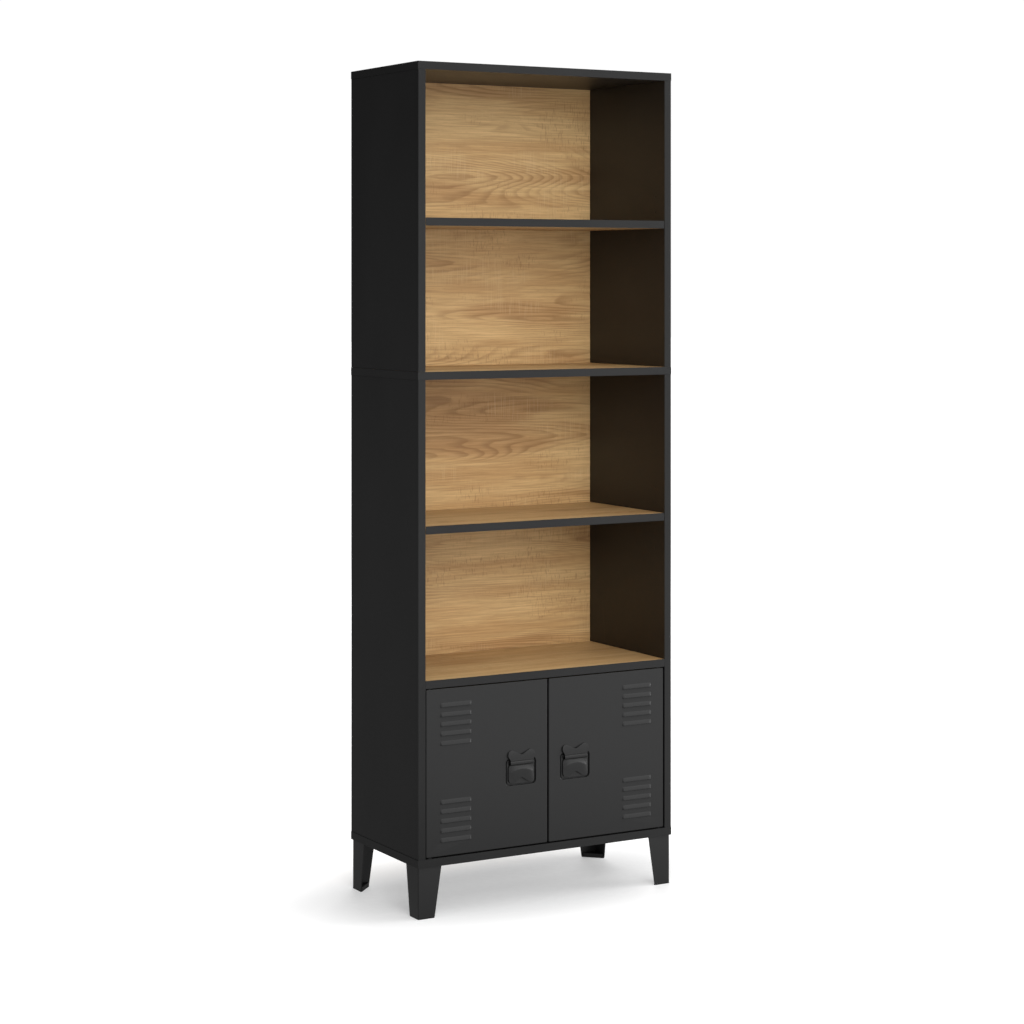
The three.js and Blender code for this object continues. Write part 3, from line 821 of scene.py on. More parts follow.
@dataclass
class Case:
    """The black boards, the two back boards and the fixed shelf, with their small fixings."""

    finishes: Finishes
    arris: float = 0.2 * MM
    strip_arris: float = 0.3 * MM
    nail_radius: float = 2.2 * MM
    nail_rise: float = 0.5 * MM
    nail_from_edge: float = 3.0 * MM
    nail_spacing: float = 95.0 * MM
    hole_pitch: float = 32.0 * MM
    holes_each_way: int = 2
    cap_depth: float = 3.0 * MM
    # Painted light: the back boards take a lighter copy of the oak, so that they look more brightly lit.
    back_fairness: float = 1.13

    def build(self) -> None:
        """Dresses every board and drives the nails of the back boards."""
        dress("top_panel", self.finishes.board, self.arris)
        # Painted light: the bottom board takes the lighter edge-strip black, standing in for light that
        # falls short of it near the floor.
        dress("bottom_panel", self.finishes.strip, self.arris)
        for side in Side:
            for level in ("upper", "lower"):
                dress(f"{side.word}_side_{level}", self.finishes.board, self.arris)
        dress("middle_panel", self.finishes.oak("middle_panel", 21.0))
        dress("middle_panel_edge_band", self.finishes.strip, self.strip_arris)
        dress("cabinet_shelf", self.finishes.oak("cabinet_shelf", 34.0))
        dress("cabinet_shelf_edge_band", self.finishes.strip, self.strip_arris)
        dress("upper_back_board", self.finishes.oak("upper_back", 3.4, self.back_fairness))
        dress("lower_back_board", self.finishes.oak("lower_back", 12.6, self.back_fairness))
        for side in Side:
            for end in End:
                dress(f"cabinet_shelf_dowel_{side.word}_{end.word}", self.finishes.beech)
        dress("wall_angle", self.finishes.zinc, self.strip_arris)
        for level in ("upper", "lower"):
            self._nails(level)
            for side in Side:
                self._hole_caps(level, side)

    def _hole_caps(self, level: str, side: Side) -> None:
        """Flush caps in the spare pin holes of one shelf in one side panel.

        Args:
            level: which shelf.
            side: which side panel.
        """
        mesh = PieceMesh(f"{level}_hole_caps_{side.word}")
        panel_low, panel_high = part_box(f"{side.word}_side_upper")
        face = panel_low.x if side is Side.RIGHT else panel_high.x
        for end in End:
            low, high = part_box(f"{level}_shelf_pin_{side.word}_{end.word}")
            middle = (low + high) / 2
            radius = (high.z - low.z) / 2 * SHANK_SHARE
            steps = [step for step in range(-self.holes_each_way, self.holes_each_way + 1) if step]
            for step in steps:
                rings = []
                for share, depth in ((1.0, self.cap_depth), (1.0, 0.15 * MM), (0.92, 0.02 * MM)):
                    ring = circle(radius * share, 16)
                    x = face + side.value * depth
                    z = middle.z + step * self.hole_pitch
                    rings.append([Vector((x, middle.y + a, z + b)) for a, b in ring])
                mesh.stack(rings)
        piece = mesh.build(self.finishes.board, flip=side is Side.RIGHT)
        add_piece(piece, "carcass")

    def _nails(self, level: str) -> None:
        """Nail heads along the rim of a back board.

        Args:
            level: which back board.
        """
        low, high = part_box(f"{level}_back_board")
        mesh = PieceMesh(f"{level}_back_board_nails")
        rim_x = (low.x + self.nail_from_edge, high.x - self.nail_from_edge)
        rim_z = (low.z + self.nail_from_edge, high.z - self.nail_from_edge)
        across = max(2, round((rim_x[1] - rim_x[0]) / self.nail_spacing))
        upward = max(2, round((rim_z[1] - rim_z[0]) / self.nail_spacing))
        places = []
        for i in range(across + 1):
            x = rim_x[0] + (rim_x[1] - rim_x[0]) * i / across
            places += [(x, rim_z[0]), (x, rim_z[1])]
        for i in range(1, upward):
            z = rim_z[0] + (rim_z[1] - rim_z[0]) * i / upward
            places += [(rim_x[0], z), (rim_x[1], z)]
        for x, z in places:
            rings = []
            for radius, rise in ((1.0, -0.4), (1.0, 0.3), (0.8, 0.85), (0.35, 1.0)):
                ring = circle(radius * self.nail_radius, 12)
                depth = high.y + rise * self.nail_rise
                rings.append([Vector((x - a, depth, z + b)) for a, b in ring])
            mesh.stack(rings)
        add_piece(mesh.build(self.finishes.zinc), "carcass")


@dataclass
class LiftOffShelf:
    """An oak shelf with a black front strip, and the four pins that it drops onto."""

    finishes: Finishes
    name: str
    shift: float
    strip_arris: float = 0.35 * MM
    segments: int = 32

    def build(self) -> None:
        """Dresses the shelf and turns its pins."""
        dress(self.name, self.finishes.oak(self.name, self.shift))
        dress(self.name + "_edge_band", self.finishes.strip, self.strip_arris)
        for side in Side:
            for end in End:
                self._pin(f"{self.name}_pin_{side.word}_{end.word}", side)

    def _pin(self, node: str, side: Side) -> None:
        """A turned pin with a rounded head and a groove behind it.

        Args:
            node: the node that it stands for.
            side: the panel that it sits in.
        """
        low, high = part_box(node)
        inner = low.x if side is Side.RIGHT else high.x
        outer = high.x if side is Side.RIGHT else low.x
        head = (high.z - low.z) / 2
        shank = head * SHANK_SHARE
        length = outer - inner
        middle = ((low.y + high.y) / 2, (low.z + high.z) / 2)
        profile = [
            (0.0, head * 0.55),
            (0.03, head * 0.9),
            (0.07, head),
            (0.44, head),
            (0.46, head * 0.92),
            (0.49, head * 0.92),
            (0.50, shank),
            (0.97, shank),
            (1.0, shank * 0.8),
        ]
        mesh = PieceMesh(node + "_turned")
        rings = []
        for along, radius in profile:
            ring = circle(radius, self.segments)
            rings.append([Vector((inner + length * along, middle[0] + a, middle[1] + b)) for a, b in ring])
        mesh.stack(rings)
        piece = mesh.build(self.finishes.zinc, flip=side is Side.LEFT)
        add_piece(piece, "carcass", (node,))


# ---------------------------------------------------------------- doors


@dataclass
class LouvredDoor:
    """A pressed-steel door: folded pan, two groups of louvres, finger cup and bow-tie pull.

    Across is measured from the hinge edge towards the meeting edge, up from the door's lower
    edge, and out from the door's face towards the front.
    """

    finishes: Finishes
    side: Side
    sheet: float = 1.0 * MM
    fold_radius: float = 1.9 * MM
    corner_radius: float = 1.0 * MM
    louvre_length: float = 71.0 * MM
    louvre_height: float = 9.0 * MM
    louvre_rise: float = 3.0 * MM
    louvre_pitch: float = 19.0 * MM
    louvre_shoulder: float = 4.5 * MM
    louvre_swell: float = 0.85
    louvre_end_reach: float = 1.1
    louvre_end_bunching: float = 1.2
    louvre_end_steps: int = 9
    louvre_middle_steps: int = 6
    louvre_rows: int = 10
    louvres_in_group: int = 5
    louvre_from_hinge: float = 67.0 * MM
    louvre_from_end: float = 70.5 * MM
    window_rim: float = 1.2 * MM
    window_margin: float = 2.5 * MM
    window_raise: float = 1.0 * MM
    cup_corner: float = 5.5 * MM
    cup_depth: float = 11.0 * MM
    cup_fold: float = 3.0 * MM
    rim_gap: float = 2.7 * MM
    channel_depth: float = 2.6 * MM
    rim_round: float = 1.0 * MM
    rim_shelf: float = 3.2 * MM
    rim_drop: float = 1.5 * MM
    cup_sill: float = 13.0 * MM
    cup_flange: float = 4.0 * MM
    flange_gap: float = 0.3 * MM
    flange_lap: float = 1.0 * MM
    channel_gap: float = 0.4 * MM
    guard: float = 0.8 * MM
    smallest_corner: float = 0.5 * MM
    turn_steps: int = 6
    sharpest_fold: float = 50.0

    def __post_init__(self) -> None:
        """Reads the door's place from the part."""
        self.body = f"{self.side.word}_door"
        self.low, self.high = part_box(self.body)
        self.face_y = self.low.y + self.louvre_rise
        self.width = self.high.x - self.low.x
        self.height = self.high.z - self.low.z
        cup_low, cup_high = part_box(f"{self.body}_finger_cup")
        self.cup_width = cup_high.x - cup_low.x - 2 * self.cup_flange
        self.cup_height = cup_high.z - cup_low.z - 2 * self.cup_flange - 2 * self.window_raise
        middle = (cup_low + cup_high) / 2
        self.cup_across = self.across(middle.x)
        self.cup_up = middle.z - self.low.z + self.window_raise

    def across(self, x: float) -> float:
        """Distance of an X from the hinge edge."""
        return x - self.low.x if self.side is Side.LEFT else self.high.x - x

    def point(self, across: float, up: float, out: float) -> Vector:
        """A point of the door in the part's frame.

        Args:
            across: from the hinge edge.
            up: from the lower edge.
            out: in front of the face.

        Returns:
            The point.
        """
        x = self.low.x + across if self.side is Side.LEFT else self.high.x - across
        return Vector((x, self.face_y - out, self.low.z + up))

    def build(self) -> None:
        """Builds every piece of the door."""
        self._pan()
        self._cup()
        Pull(self.finishes, self).build()
        for end in ("top", "bottom"):
            dress(f"{self.body}_{end}_pivot", self.finishes.zinc, 0.3 * MM)
            dress(f"{self.side.word}_{end}_bush", self.finishes.nylon, 0.2 * MM)

    def _louvre_middles(self) -> list[float]:
        """Lists where the louvres are.

        Returns:
            The levels of their middle lines.
        """
        levels = []
        for middle in (self.louvre_from_end, self.height - self.louvre_from_end):
            for i in range(self.louvres_in_group):
                levels.append(middle + (i - (self.louvres_in_group - 1) / 2) * self.louvre_pitch)
        return levels

    def _louvre_out(self, across: float, up: float) -> float:
        """How far a louvre stands out at a place measured from its middle.

        Args:
            across: along the louvre.
            up: from the middle line.

        Returns:
            The rise in metres: none along the top and the ends, full at the lower lip.
        """
        from_end = self.louvre_length / 2 - abs(across)
        from_top = self.louvre_height / 2 - up
        end_part = min(1.0, max(0.0, from_end / self.louvre_shoulder))
        rise = self.louvre_rise * max(0.0, from_top / self.louvre_height) ** self.louvre_swell
        return rise * math.sin(end_part * math.pi / 2)

    def _louvre(self, work: bmesh.types.BMesh, up: float) -> list[Vert]:
        """Adds one louvre's hood and the loop of its opening in the flat sheet.

        Args:
            work: the door's mesh.
            up: level of the louvre's middle.

        Returns:
            The loop of vertices round the opening.
        """
        half = self.louvre_length / 2
        steps = self.louvre_end_steps
        end = self.louvre_shoulder * self.louvre_end_reach
        between = self.louvre_length - 2 * end
        parts = self.louvre_middle_steps
        runs = [-half + end * (i / steps) ** self.louvre_end_bunching for i in range(steps + 1)]
        runs += [-half + end + between * i / parts for i in range(1, parts)]
        runs += [-run for run in reversed(runs[: steps + 1])]
        levels = [self.louvre_height * (0.5 - i / self.louvre_rows) for i in range(self.louvre_rows + 1)]

        def vertex(run: float, level: float, out: float) -> Vert:
            """A new vertex at a place measured from the louvre's middle."""
            return work.verts.new(self.point(self.louvre_from_hinge + run, up + level, out))

        grid = [[vertex(run, level, self._louvre_out(run, level)) for run in runs] for level in levels]
        for upper, lower in zip(grid, grid[1:]):
            for i in range(len(runs) - 1):
                self._face(work, [upper[i], lower[i], lower[i + 1], upper[i + 1]])
        sill = [vertex(run, levels[-1], 0.0) for run in runs[1:-1]]
        left = [row[0] for row in grid]
        right = [row[-1] for row in grid]
        return grid[0][:] + right[1:] + list(reversed(sill)) + list(reversed(left[1:]))

    def _rounded(self, middle: Pair, size: Pair, grow: float, corner: float, out: float) -> list[Vector]:
        """A rounded rectangle on the door.

        Args:
            middle: across and up of its middle.
            size: its width and height before it grows.
            grow: how far every side moves outwards.
            corner: its corner radius.
            out: its distance in front of the face.

        Returns:
            Its points, anticlockwise from the front of a left door.
        """
        outline = rounded_rectangle(size[0] + 2 * grow, size[1] + 2 * grow, corner, 6)
        return [self.point(middle[0] + a, middle[1] + b, out) for a, b in outline]

    def _pan(self) -> None:
        """The door sheet: flat face with louvres and cup window, folded back all round."""
        work = bmesh.new()
        loops = [self._louvre(work, level) for level in self._louvre_middles()]
        loops.append(self._window(work))
        loops.append(self._folded_edge(work))
        fill = set()
        for loop in loops:
            for pair in zip(loop, loop[1:] + loop[:1]):
                fill.add(work.edges.get(pair) or work.edges.new(pair))
        made = bmesh.ops.triangle_fill(work, edges=list(fill), use_beauty=True, normal=(0, -1, 0))
        for element in made["geom"]:
            if isinstance(element, bmesh.types.BMFace) and element.normal.y > 0:
                element.normal_flip()
        mesh = bpy.data.meshes.new(f"{self.body}_pan")
        work.to_mesh(mesh)
        work.free()
        piece = finish_mesh(mesh, self.finishes.steel, self.sharpest_fold)
        add_thickness(piece, self.sheet)
        even_shading(piece)
        add_piece(piece, self.body, (self.body,))

    def _band(self, work: bmesh.types.BMesh, rings: list[list[Vector]]) -> list[Vert]:
        """Bridges rings of points.

        Args:
            work: the door's mesh.
            rings: rings of points, each of the same length.

        Returns:
            The first ring's vertices.
        """
        numbered = [[work.verts.new(place) for place in ring] for ring in rings]
        for first, second in zip(numbered, numbered[1:]):
            for i in range(len(first)):
                j = (i + 1) % len(first)
                self._face(work, [first[i], first[j], second[j], second[i]])
        return numbered[0]

    def _face(self, work: bmesh.types.BMesh, corners: list[Vert]) -> None:
        """Adds a face, turned over on the right door, which mirrors the left.

        Args:
            work: the door's mesh.
            corners: the face's corners on a left door.
        """
        if self.side is Side.RIGHT:
            corners.reverse()
        work.faces.new(corners)

    def _window(self, work: bmesh.types.BMesh) -> list[Vert]:
        """Adds the rim of the cup's window, rolled inwards.

        Args:
            work: the door's mesh.

        Returns:
            The loop where the rim meets the flat face.
        """
        middle = (self.cup_across, self.cup_up)
        size = (self.cup_width, self.cup_height)
        flat = self.window_margin + self.window_rim + self.guard
        rings = [self._rounded(middle, size, flat, self.cup_corner + flat, 0.0)]
        for rise, fall in quarter_turn(5):
            wide = self.window_margin + self.window_rim * (1 - rise)
            out = -self.window_rim * (1 - fall)
            rings.append(self._rounded(middle, size, wide, self.cup_corner + wide, out))
        return self._band(work, rings)

    def _folded_edge(self, work: bmesh.types.BMesh) -> list[Vert]:
        """Adds the fold round the door's outline and the returns behind it.

        Args:
            work: the door's mesh.

        Returns:
            The loop where the fold meets the flat face.
        """
        middle = (self.width / 2, self.height / 2)
        size = (self.width, self.height)
        flat = self.fold_radius + self.guard
        rings = [self._rounded(middle, size, -flat, self.corner_radius, 0.0)]
        for rise, fall in quarter_turn(self.turn_steps):
            inset = self.fold_radius * (1 - rise)
            corner = self.corner_radius + self.fold_radius - inset
            rings.append(self._rounded(middle, size, -inset, corner, -self.fold_radius * (1 - fall)))
        corner = self.corner_radius + self.fold_radius
        rings.append(self._rounded(middle, size, 0.0, corner, self.face_y - self.high.y))
        return self._band(work, [list(reversed(ring)) for ring in rings])

    def _cup_profile(self) -> tuple[list[Pair], float]:
        """The cup's section: flange, channel, raised rim close under the face, wall and floor.

        Returns:
            Pairs of distance outside the cup's outline and in front of the face, from the flange
            inwards, and the distance at which the wall and its sill start.
        """
        turn = quarter_turn(self.turn_steps)
        front = -(self.sheet + self.flange_gap)
        back = front - self.cup_depth + self.sheet
        trough = front - self.channel_depth
        wall = self.window_margin + self.channel_gap
        start = self.window_margin - self.rim_gap
        edge = start - self.rim_round - self.rim_shelf
        inner = edge - self.cup_fold
        profile = [(wall + self.flange_lap, front), (wall, front), (wall, trough), (start, trough)]
        crest = -self.rim_drop
        for rise, fall in turn:
            profile.append((start - self.rim_round * (1 - fall), crest - self.rim_round * (1 - rise)))
        for rise, fall in turn:
            profile.append((edge - self.cup_fold * rise, crest - self.cup_fold * (1 - fall)))
        for rise, fall in turn:
            profile.append((inner - self.cup_fold * (1 - fall), back + self.cup_fold * (1 - rise)))
        return profile, edge

    def _cup(self) -> None:
        """The finger cup behind the window, with a sill that closes its lower part."""
        profile, edge = self._cup_profile()
        rings = []
        for wide, out in profile:
            sill = self.cup_sill if wide <= edge + SAME_POINT else 0.0
            placed = (self.cup_across, self.cup_up + sill / 2)
            size = (self.cup_width, self.cup_height - sill)
            corner = max(self.smallest_corner, self.cup_corner + wide)
            rings.append(self._rounded(placed, size, wide, corner, out))
        mesh = PieceMesh(f"{self.body}_cup")
        numbered = [mesh.ring(points) for points in rings]
        for first, second in zip(numbered, numbered[1:]):
            mesh.bridge(first, second)
        mesh.cap(numbered[-1])
        piece = mesh.build(self.finishes.steel, flip=self.side is Side.RIGHT)
        add_thickness(piece, self.sheet)
        even_shading(piece)
        add_piece(piece, self.body, (f"{self.body}_finger_cup",))


@dataclass
class Pull:
    """The bow-tie plate over the finger cup: two lobes above, a ribbed waist, a pouting lip below.

    Levels are measured up from the plate's lowest point.
    """

    finishes: Finishes
    door: LouvredDoor
    sheet: float = 0.9 * MM
    lobe_half: float = 31.3 * MM
    waist_half: float = 26.6 * MM
    lip_half: float = 29.4 * MM
    upper_notch: float = 9.5 * MM
    lower_notch: float = 11.5 * MM
    notch_reach: float = 0.69
    corner_fall: float = 9.0 * MM
    waist_low: float = 38.0 * MM
    waist_high: float = 45.0 * MM
    lobe_level: float = 57.0 * MM
    lip_level: float = 30.0 * MM
    ridge_middle: float = 29.0 * MM
    ridge_fall: float = 10.0 * MM
    upper_rise: float = 7.0 * MM
    step_width: float = 1.8 * MM
    upper_reach: float = 21.0 * MM
    crest: float = 5.4 * MM
    lower_edge: float = 1.9 * MM
    groove_depth: float = 1.1 * MM
    groove_half: float = 1.1 * MM
    lie: float = 0.2 * MM
    arris: float = 0.35 * MM
    columns: int = 48
    rows: int = 100

    def build(self) -> None:
        """Builds the plate."""
        node = f"{self.door.body}_pull"
        low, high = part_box(node)
        self.height = high.z - low.z
        self.across = self.door.across((low.x + high.x) / 2)
        self.bottom = low.z - self.door.low.z
        mesh = PieceMesh(f"{self.door.body}_bow_tie_plate")
        places = [2 * column / self.columns - 1 for column in range(self.columns + 1)]
        numbered = []
        for row in range(self.rows + 1):
            numbered.append(mesh.ring([self._point(across, row / self.rows) for across in places]))
        for lower, upper in zip(numbered, numbered[1:]):
            mesh.bridge(lower, upper, closed=False)
        piece = mesh.build(self.finishes.steel, flip=self.door.side is Side.RIGHT)
        add_thickness(piece, self.sheet, even=False)
        soften(piece, self.arris)
        even_shading(piece)
        add_piece(piece, self.door.body, (node,))

    def _edge(self, run: float, notch: float) -> float:
        """How far the upper or lower edge lies inside the plate's full height.

        Args:
            run: 0 in the middle to 1 at the side.
            notch: depth of the notch in the middle.

        Returns:
            The distance in metres.
        """
        if run < self.notch_reach:
            part = 1 - run / self.notch_reach
            return notch * (0.65 * part + 0.35 * ease(part))
        part = (run - self.notch_reach) / (1 - self.notch_reach)
        return self.corner_fall * (1 - math.sqrt(max(0.0, 1 - part * part)))

    def _half_width(self, level: float) -> float:
        """Half the plate's width at a level.

        Args:
            level: height above the plate's lowest point.

        Returns:
            The distance in metres.
        """
        if level > self.waist_low:
            part = ease((level - self.waist_high) / (self.lobe_level - self.waist_high))
            return self.waist_half + (self.lobe_half - self.waist_half) * part
        part = ease((self.waist_low - level) / (self.waist_low - self.lip_level))
        return self.waist_half + (self.lip_half - self.waist_half) * part

    def _point(self, across: float, up: float) -> Vector:
        """A point of the plate's outer face.

        Args:
            across: -1 to 1 over the width.
            up: 0 at the lower edge, 1 at the upper.

        Returns:
            The point.
        """
        run = abs(across)
        low = self._edge(run, self.lower_notch)
        high = self.height - self._edge(run, self.upper_notch)
        level = low + (high - low) * up
        out = self._out(run, level)
        return self.door.point(self.across + across * self._half_width(level), self.bottom + level, out)

    def _out(self, run: float, level: float) -> float:
        """How far the outer face stands in front of the door at a place.

        Args:
            run: 0 in the middle to 1 at the side.
            level: height above the plate's lowest point.

        Returns:
            The distance in metres.
        """
        base = self.sheet + self.lie
        below = self.height - max(level, self.waist_high)
        upper = base + self.upper_rise * (1 - math.exp(-below / self.upper_reach))
        share = ease((level - self.waist_low) / self.step_width + 1)
        face = upper * share + self._lower_out(run, min(level, self.waist_low), base) * (1 - share)
        return face - self._groove(level, self.waist_high) - self._groove(level, self.waist_low)

    def _lower_out(self, run: float, level: float, base: float) -> float:
        """How far the lower half stands out: up to a bowed ridge, then back towards the lip.

        Args:
            run: 0 in the middle to 1 at the side.
            level: height above the plate's lowest point, up to the waist.
            base: how far the plate stands out where it lies on the door.

        Returns:
            The distance in metres.
        """
        ridge = self.ridge_middle - self.ridge_fall * run * run
        crest = base + (self.crest - base) * (1 - run**4)
        if level > ridge:
            return base + (crest - base) * (self.waist_low - level) / (self.waist_low - ridge)
        return crest - (crest - self.lower_edge) * ((ridge - level) / ridge) ** 1.2

    def _groove(self, level: float, middle: float) -> float:
        """Depth of a rounded groove across the plate."""
        return self.groove_depth * math.exp(-(((level - middle) / self.groove_half) ** 2))


# ---------------------------------------------------------------- legs


@dataclass
class FoldedLeg:
    """A tapered leg folded from sheet, its moulded foot and the screws through its top plate."""

    finishes: Finishes
    side: Side
    end: End
    foot_width: float = 37.0 * MM
    sheet: float = 2.0 * MM
    bend: float = 2.6 * MM
    plate_nose: float = 12.0 * MM
    sole_inset: float = 0.3 * MM
    sole_nose: float = 3.0 * MM
    plug_gap: float = 0.3 * MM
    screw_line: float = 10.5 * MM
    screw_head: float = 4.2 * MM
    arc_steps: int = 8

    def __post_init__(self) -> None:
        """Reads the leg's place from the part."""
        self.name = f"{self.side.word}_{self.end.word}"
        self.low, self.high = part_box(f"{self.name}_leg")
        self.top_width = self.high.x - self.low.x
        self.mirrored = self.side.value * self.end.value < 0

    def point(self, a: float, b: float, z: float) -> Vector:
        """A point in the leg's corner.

        Args:
            a: distance inwards from the outer side face.
            b: distance inwards from the outer end face.
            z: height over the floor.

        Returns:
            The point.
        """
        x = self.high.x - a if self.side is Side.RIGHT else self.low.x + a
        y = self.high.y - b if self.end is End.REAR else self.low.y + b
        return Vector((x, y, z))

    def build(self) -> None:
        """Builds the leg, its foot and its screws."""
        self._walls()
        self._foot()
        self._screws()

    def _arc(self, radius: float) -> list[Pair]:
        """A quarter turn round the bend's middle."""
        turns = [-math.pi / 2 * (1 + step / self.arc_steps) for step in range(self.arc_steps + 1)]
        return [(self.bend + radius * math.cos(t), self.bend + radius * math.sin(t)) for t in turns]

    def _section(self, width: float) -> list[Pair]:
        """The folded sheet's outline: two walls at a right angle round an outer corner."""
        outer = [(width, 0.0)] + self._arc(self.bend) + [(0.0, width), (self.sheet, width)]
        return outer + list(reversed(self._arc(self.bend - self.sheet))) + [(width, self.sheet)]

    def _corner(self, width: float, low: float, nose: float) -> list[Pair]:
        """A five-sided outline that fills the leg's corner, cut off between its free edges."""
        high = width - low
        return [(low, low), (low, high), (low + nose, high), (high, low + nose), (high, low)]

    def _walls(self) -> None:
        """The folded walls and the top plate."""
        mesh = PieceMesh(f"{self.name}_folded_leg")
        sections = ((self.foot_width, self.low.z), (self.top_width, self.high.z))
        mesh.stack([[self.point(a, b, z) for a, b in self._section(width)] for width, z in sections])
        plate = self._corner(self.top_width, self.sheet / 2, self.plate_nose)
        levels = (self.high.z - self.sheet, self.high.z - 0.1 * MM)
        mesh.stack([[self.point(a, b, z) for a, b in plate] for z in levels])
        # Painted light: the walls wear the lighter copy of the powder coat.
        piece = mesh.build(self.finishes.leg_steel, flip=self.mirrored)
        soften(piece, 0.3 * MM)
        even_shading(piece)
        add_piece(piece, "carcass", (f"{self.name}_leg",))

    def _foot(self) -> None:
        """A moulded foot: a sole with a rounded lower rim, and a plug between the walls."""
        node = f"{self.name}_glide"
        low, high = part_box(node)
        sole_top = self.low.z - 0.05 * MM
        mesh = PieceMesh(f"{self.name}_moulded_foot")
        steps = ((0.9, low.z), (0.3, low.z + 0.25 * MM), (0.0, low.z + 0.8 * MM), (0.0, sole_top))
        rings = []
        for inset, z in steps:
            outline = self._corner(self.foot_width, self.sole_inset + inset * MM, self.sole_nose)
            rings.append([self.point(a, b, z) for a, b in outline])
        mesh.stack(rings)
        plug = self._corner(self.foot_width, self.sheet + self.plug_gap, self.sole_nose)
        mesh.stack([[self.point(a, b, z) for a, b in plug] for z in (low.z + 1.2 * MM, high.z)])
        piece = mesh.build(self.finishes.nylon, flip=self.mirrored)
        soften(piece, 0.3 * MM)
        add_piece(piece, "carcass", (node,))

    def _screws(self) -> None:
        """Three button screws up through the top plate."""
        line = self.screw_line
        far = self.top_width - line
        mesh = PieceMesh(f"{self.name}_leg_screws")
        face = self.high.z - self.sheet
        for a, b in ((line, line), (far, line), (line, far)):
            centre = self.point(a, b, face)
            rings = []
            for radius, drop in ((1.0, 0.0), (0.97, 0.25), (0.8, 0.45), (0.62, 0.55)):
                ring = circle(radius * self.screw_head, 24)
                rings.append([centre + Vector((p, -q, -drop * self.screw_head)) for p, q in ring])
            for drop in (0.55, 0.2):
                socket = hexagon(self.screw_head * 0.42, 24)
                rings.append([centre + Vector((p, -q, -drop * self.screw_head)) for p, q in socket])
            mesh.stack(rings)
        piece = mesh.build(self.finishes.zinc)
        add_piece(piece, "carcass")


def hexagon(radius: float, count: int) -> list[Pair]:
    """Points along a hexagon's sides, in step with a circle of the same count.

    Args:
        radius: the hexagon's half width over its corners.
        count: how many points.

    Returns:
        Pairs of across and up.
    """
    points = []
    for i in range(count):
        angle = 2 * math.pi * i / count
        within = (angle % (math.pi / 3)) - math.pi / 6
        reach = radius * math.cos(math.pi / 6) / math.cos(within)
        points.append((reach * math.cos(angle), reach * math.sin(angle)))
    return points


@dataclass
class MagneticCatch:
    """A moulded catch under the cabinet shelf, with two steel plates on its face."""

    finishes: Finishes
    side: Side
    corner: float = 1.5 * MM

    def build(self) -> None:
        """Builds the case and the plates."""
        node = f"{self.side.word}_magnetic_catch"
        low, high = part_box(node)
        size = high - low
        mesh = PieceMesh(node + "_case")
        middle = (low + high) / 2
        rings = []
        for inset, z in ((1.0, low.z), (0.3, low.z + 0.4 * MM), (0.0, low.z + 1.0 * MM), (0.0, high.z)):
            near = rounded_rectangle(size.x - 2 * inset * MM, size.y - 2 * inset * MM, self.corner, 4)
            rings.append([Vector((middle.x + a, middle.y + b, z)) for a, b in near])
        mesh.stack(rings)
        add_piece(mesh.build(self.finishes.nylon), "carcass", (node,))
        plates = PieceMesh(node + "_plates")
        for shift in (-0.18, 0.18):
            x = middle.x + shift * size.x
            rings = []
            for y in (low.y + 0.5 * MM, low.y - 0.15 * MM):
                outline = rounded_rectangle(1.6 * MM, size.z * 0.7, 0.4 * MM, 3)
                rings.append([Vector((x + a, y, middle.z + b)) for a, b in outline])
            plates.stack(rings)
        add_piece(plates.build(self.finishes.zinc), "carcass")


# ---------------------------------------------------------------- studio


@dataclass(frozen=True)
class SoftLight:
    """A rectangular soft light, aimed at the middle of the bookcase."""

    name: str
    place: Triple
    size: Pair
    power: float
    mirrored: bool = False
    aim: Triple = (0.0, 0.0, 0.9)

    def build(self) -> None:
        """Hangs the light."""
        data = bpy.data.lights.new(self.name, "AREA")
        data.shape = "RECTANGLE"
        data.size, data.size_y = self.size
        data.energy = self.power
        light = bpy.data.objects.new(self.name, data)
        light.location = self.place
        towards = Vector(self.aim) - Vector(self.place)
        light.rotation_euler = towards.to_track_quat("-Z", "Y").to_euler()
        light.visible_glossy = self.mirrored
        bpy.context.scene.collection.objects.link(light)


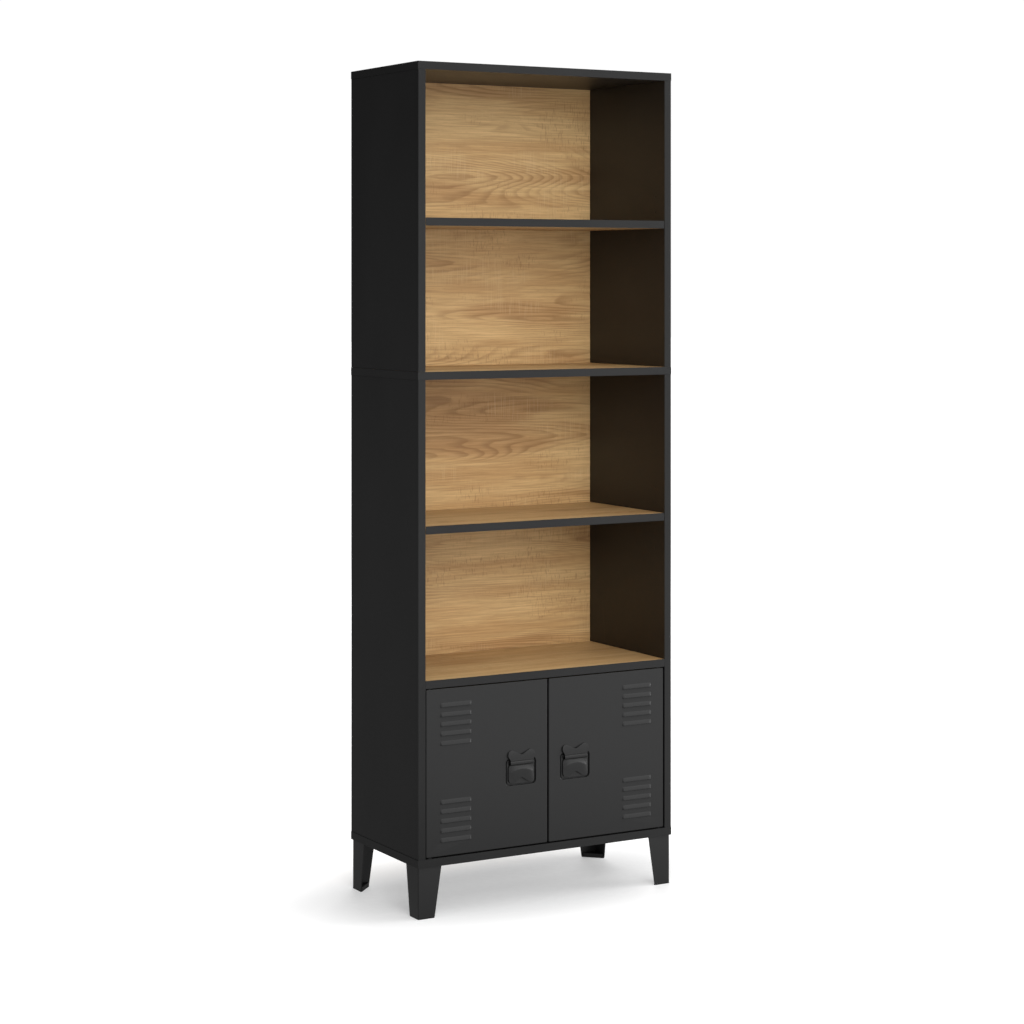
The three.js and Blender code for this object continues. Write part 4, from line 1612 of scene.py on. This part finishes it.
@dataclass
class Studio:
    """White floor, soft lights and the camera."""

    lens: float = 85.72
    frame_shift: float = -0.2270
    stand: Triple = (-2.5442, -4.4157, 1.26726)
    turn: float = -29.949
    lights: tuple[SoftLight, ...] = (
        SoftLight("key_softbox", (-1.0, -5.0, 2.5), (4.0, 3.0), 178.0),
        SoftLight("top_softbox", (0.3, -0.8, 4.2), (3.0, 3.0), 15.0),
        SoftLight("rear_softbox", (2.4, 4.4, 2.8), (2.6, 2.0), 150.0),
        SoftLight("right_strip", (4.6, -1.6, 1.6), (1.6, 2.6), 60.0, mirrored=True),
    )
    sky_front: Triple = (0.5, -0.866, 0.0)
    sky_turn: Pair = (-0.6, 0.8)
    sky_level: Pair = (0.10, 0.48)
    raised_turn: Pair = (-0.2, 0.7)
    raised_height: Pair = (0.06, 0.44)
    raised_most: float = 1.15
    backdrop: float = 1.02
    floor_half: float = 40.0
    floor_greys: Pair = (0.60, 0.62)
    # Painted shadow: seen directly, the floor glows less within this reach of the bookcase.
    shade_stretch: Triple = (0.8, 1.5, 0.0)
    shade_reach: Pair = (0.18, 0.74)
    shade_glow: Pair = (0.30, 1.0)
    # Painted bounce: every ray but the camera's meets only a glow of the floor, brighter towards the front.
    bounce_front: Triple = (0.55, -0.83, 0.0)
    bounce_reach: Pair = (-0.4, 2.0)
    bounce_glow: Pair = (0.24, 0.98)

    def build(self) -> None:
        """Sets up everything that isn't the bookcase."""
        self._camera()
        self._world()
        self._floor()
        for light in self.lights:
            light.build()
        bpy.context.scene.view_settings.view_transform = "Standard"

    def _camera(self) -> None:
        """The camera at eye height, held level, with its frame shifted down."""
        data = bpy.data.cameras.new("camera")
        data.lens = self.lens
        data.sensor_width = 36.0
        data.shift_y = self.frame_shift
        data.clip_end = 200.0
        camera = bpy.data.objects.new("camera", data)
        camera.location = self.stand
        camera.rotation_euler = (math.radians(90), 0.0, math.radians(self.turn))
        bpy.context.scene.collection.objects.link(camera)
        bpy.context.scene.camera = camera

    def _world(self) -> None:
        """White behind the object, and a soft gradient that lights it from the front right."""
        world = bpy.data.worlds.new("studio")
        world.use_nodes = True
        world.node_tree.nodes.clear()
        graph = NodeGraph(world.node_tree)
        coords = graph.node("ShaderNodeTexCoord").outputs["Generated"]
        front = graph.along(coords, self.sky_front)
        level = graph.span(front, *self.sky_turn, *self.sky_level)
        turned = graph.span(front, *self.raised_turn)
        up = graph.along(coords, (0.0, 0.0, 1.0))
        height = graph.span(up, *self.raised_height, 0.0, self.raised_most)
        soft = graph.node("ShaderNodeBackground")
        graph.link(graph.math("MULTIPLY_ADD", turned, height, level), soft.inputs["Strength"])
        white = graph.node("ShaderNodeBackground")
        white.inputs["Color"].default_value = (1.0, 1.0, 1.0, 1.0)
        white.inputs["Strength"].default_value = self.backdrop
        output = graph.node("ShaderNodeOutputWorld")
        graph.split_rays(white.outputs["Background"], soft.outputs["Background"], output)
        bpy.context.scene.world = world

    def _floor(self) -> None:
        """A wide white floor whose glow, seen directly, is weaker near the bookcase: painted shadow on top
        of the real shade. Every other ray meets a painted bounce glow.
        """
        mesh = bpy.data.meshes.new("floor")
        level = CAD_BOX[0][2]
        signs = ((-1, -1), (1, -1), (1, 1), (-1, 1))
        corners = [(x * self.floor_half, y * self.floor_half, level) for x, y in signs]
        mesh.from_pydata(corners, [], [(0, 1, 2, 3)])
        floor = bpy.data.objects.new("floor", mesh)
        bpy.context.scene.collection.objects.link(floor)
        shader = Shader("white_floor")
        grain = shader.noise(shader.place((60.0,) * 3), detail=2.0)
        dark, light = ((grey,) * 3 for grey in self.floor_greys)
        shader.colour(shader.blend(shader.span(grain, 0.3, 0.7), dark, light))
        shader.set(Roughness=0.9, Specular_IOR_Level=0.1, Emission_Color=(1.0, 1.0, 1.0, 1.0))
        reach = shader.node("ShaderNodeVectorMath", operation="LENGTH")
        shader.link(shader.place(self.shade_stretch), reach.inputs[0])
        # Painted shadow: the glow is weaker near the bookcase, darkening the floor there on top of its real
        # shade.
        glow = shader.span(reach.outputs["Value"], *self.shade_reach, *self.shade_glow)
        shader.link(glow, shader.surface.inputs["Emission Strength"])
        # Painted bounce: the floor lights the bookcase with a glow, brighter towards the front, in place of
        # reflected light.
        forward = shader.along(shader.place((1.0, 1.0, 1.0)), self.bounce_front)
        painted_bounce = shader.node("ShaderNodeEmission")
        strength = shader.span(forward, *self.bounce_reach, *self.bounce_glow)
        shader.link(strength, painted_bounce.inputs["Strength"])
        output = shader.tree.nodes["Material Output"]
        shader.split_rays(shader.surface.outputs["BSDF"], painted_bounce.outputs["Emission"], output)
        mesh.materials.append(shader.material)


def main() -> None:
    """Builds the studio and every sub-assembly."""
    Studio().build()
    finishes = Finishes()
    Case(finishes).build()
    LiftOffShelf(finishes, "upper_shelf", 47.0).build()
    LiftOffShelf(finishes, "lower_shelf", 58.0).build()
    for side in Side:
        LouvredDoor(finishes, side).build()
        MagneticCatch(finishes, side).build()
        for end in End:
            FoldedLeg(finishes, side, end).build()


if __name__ == "__main__":
    main()
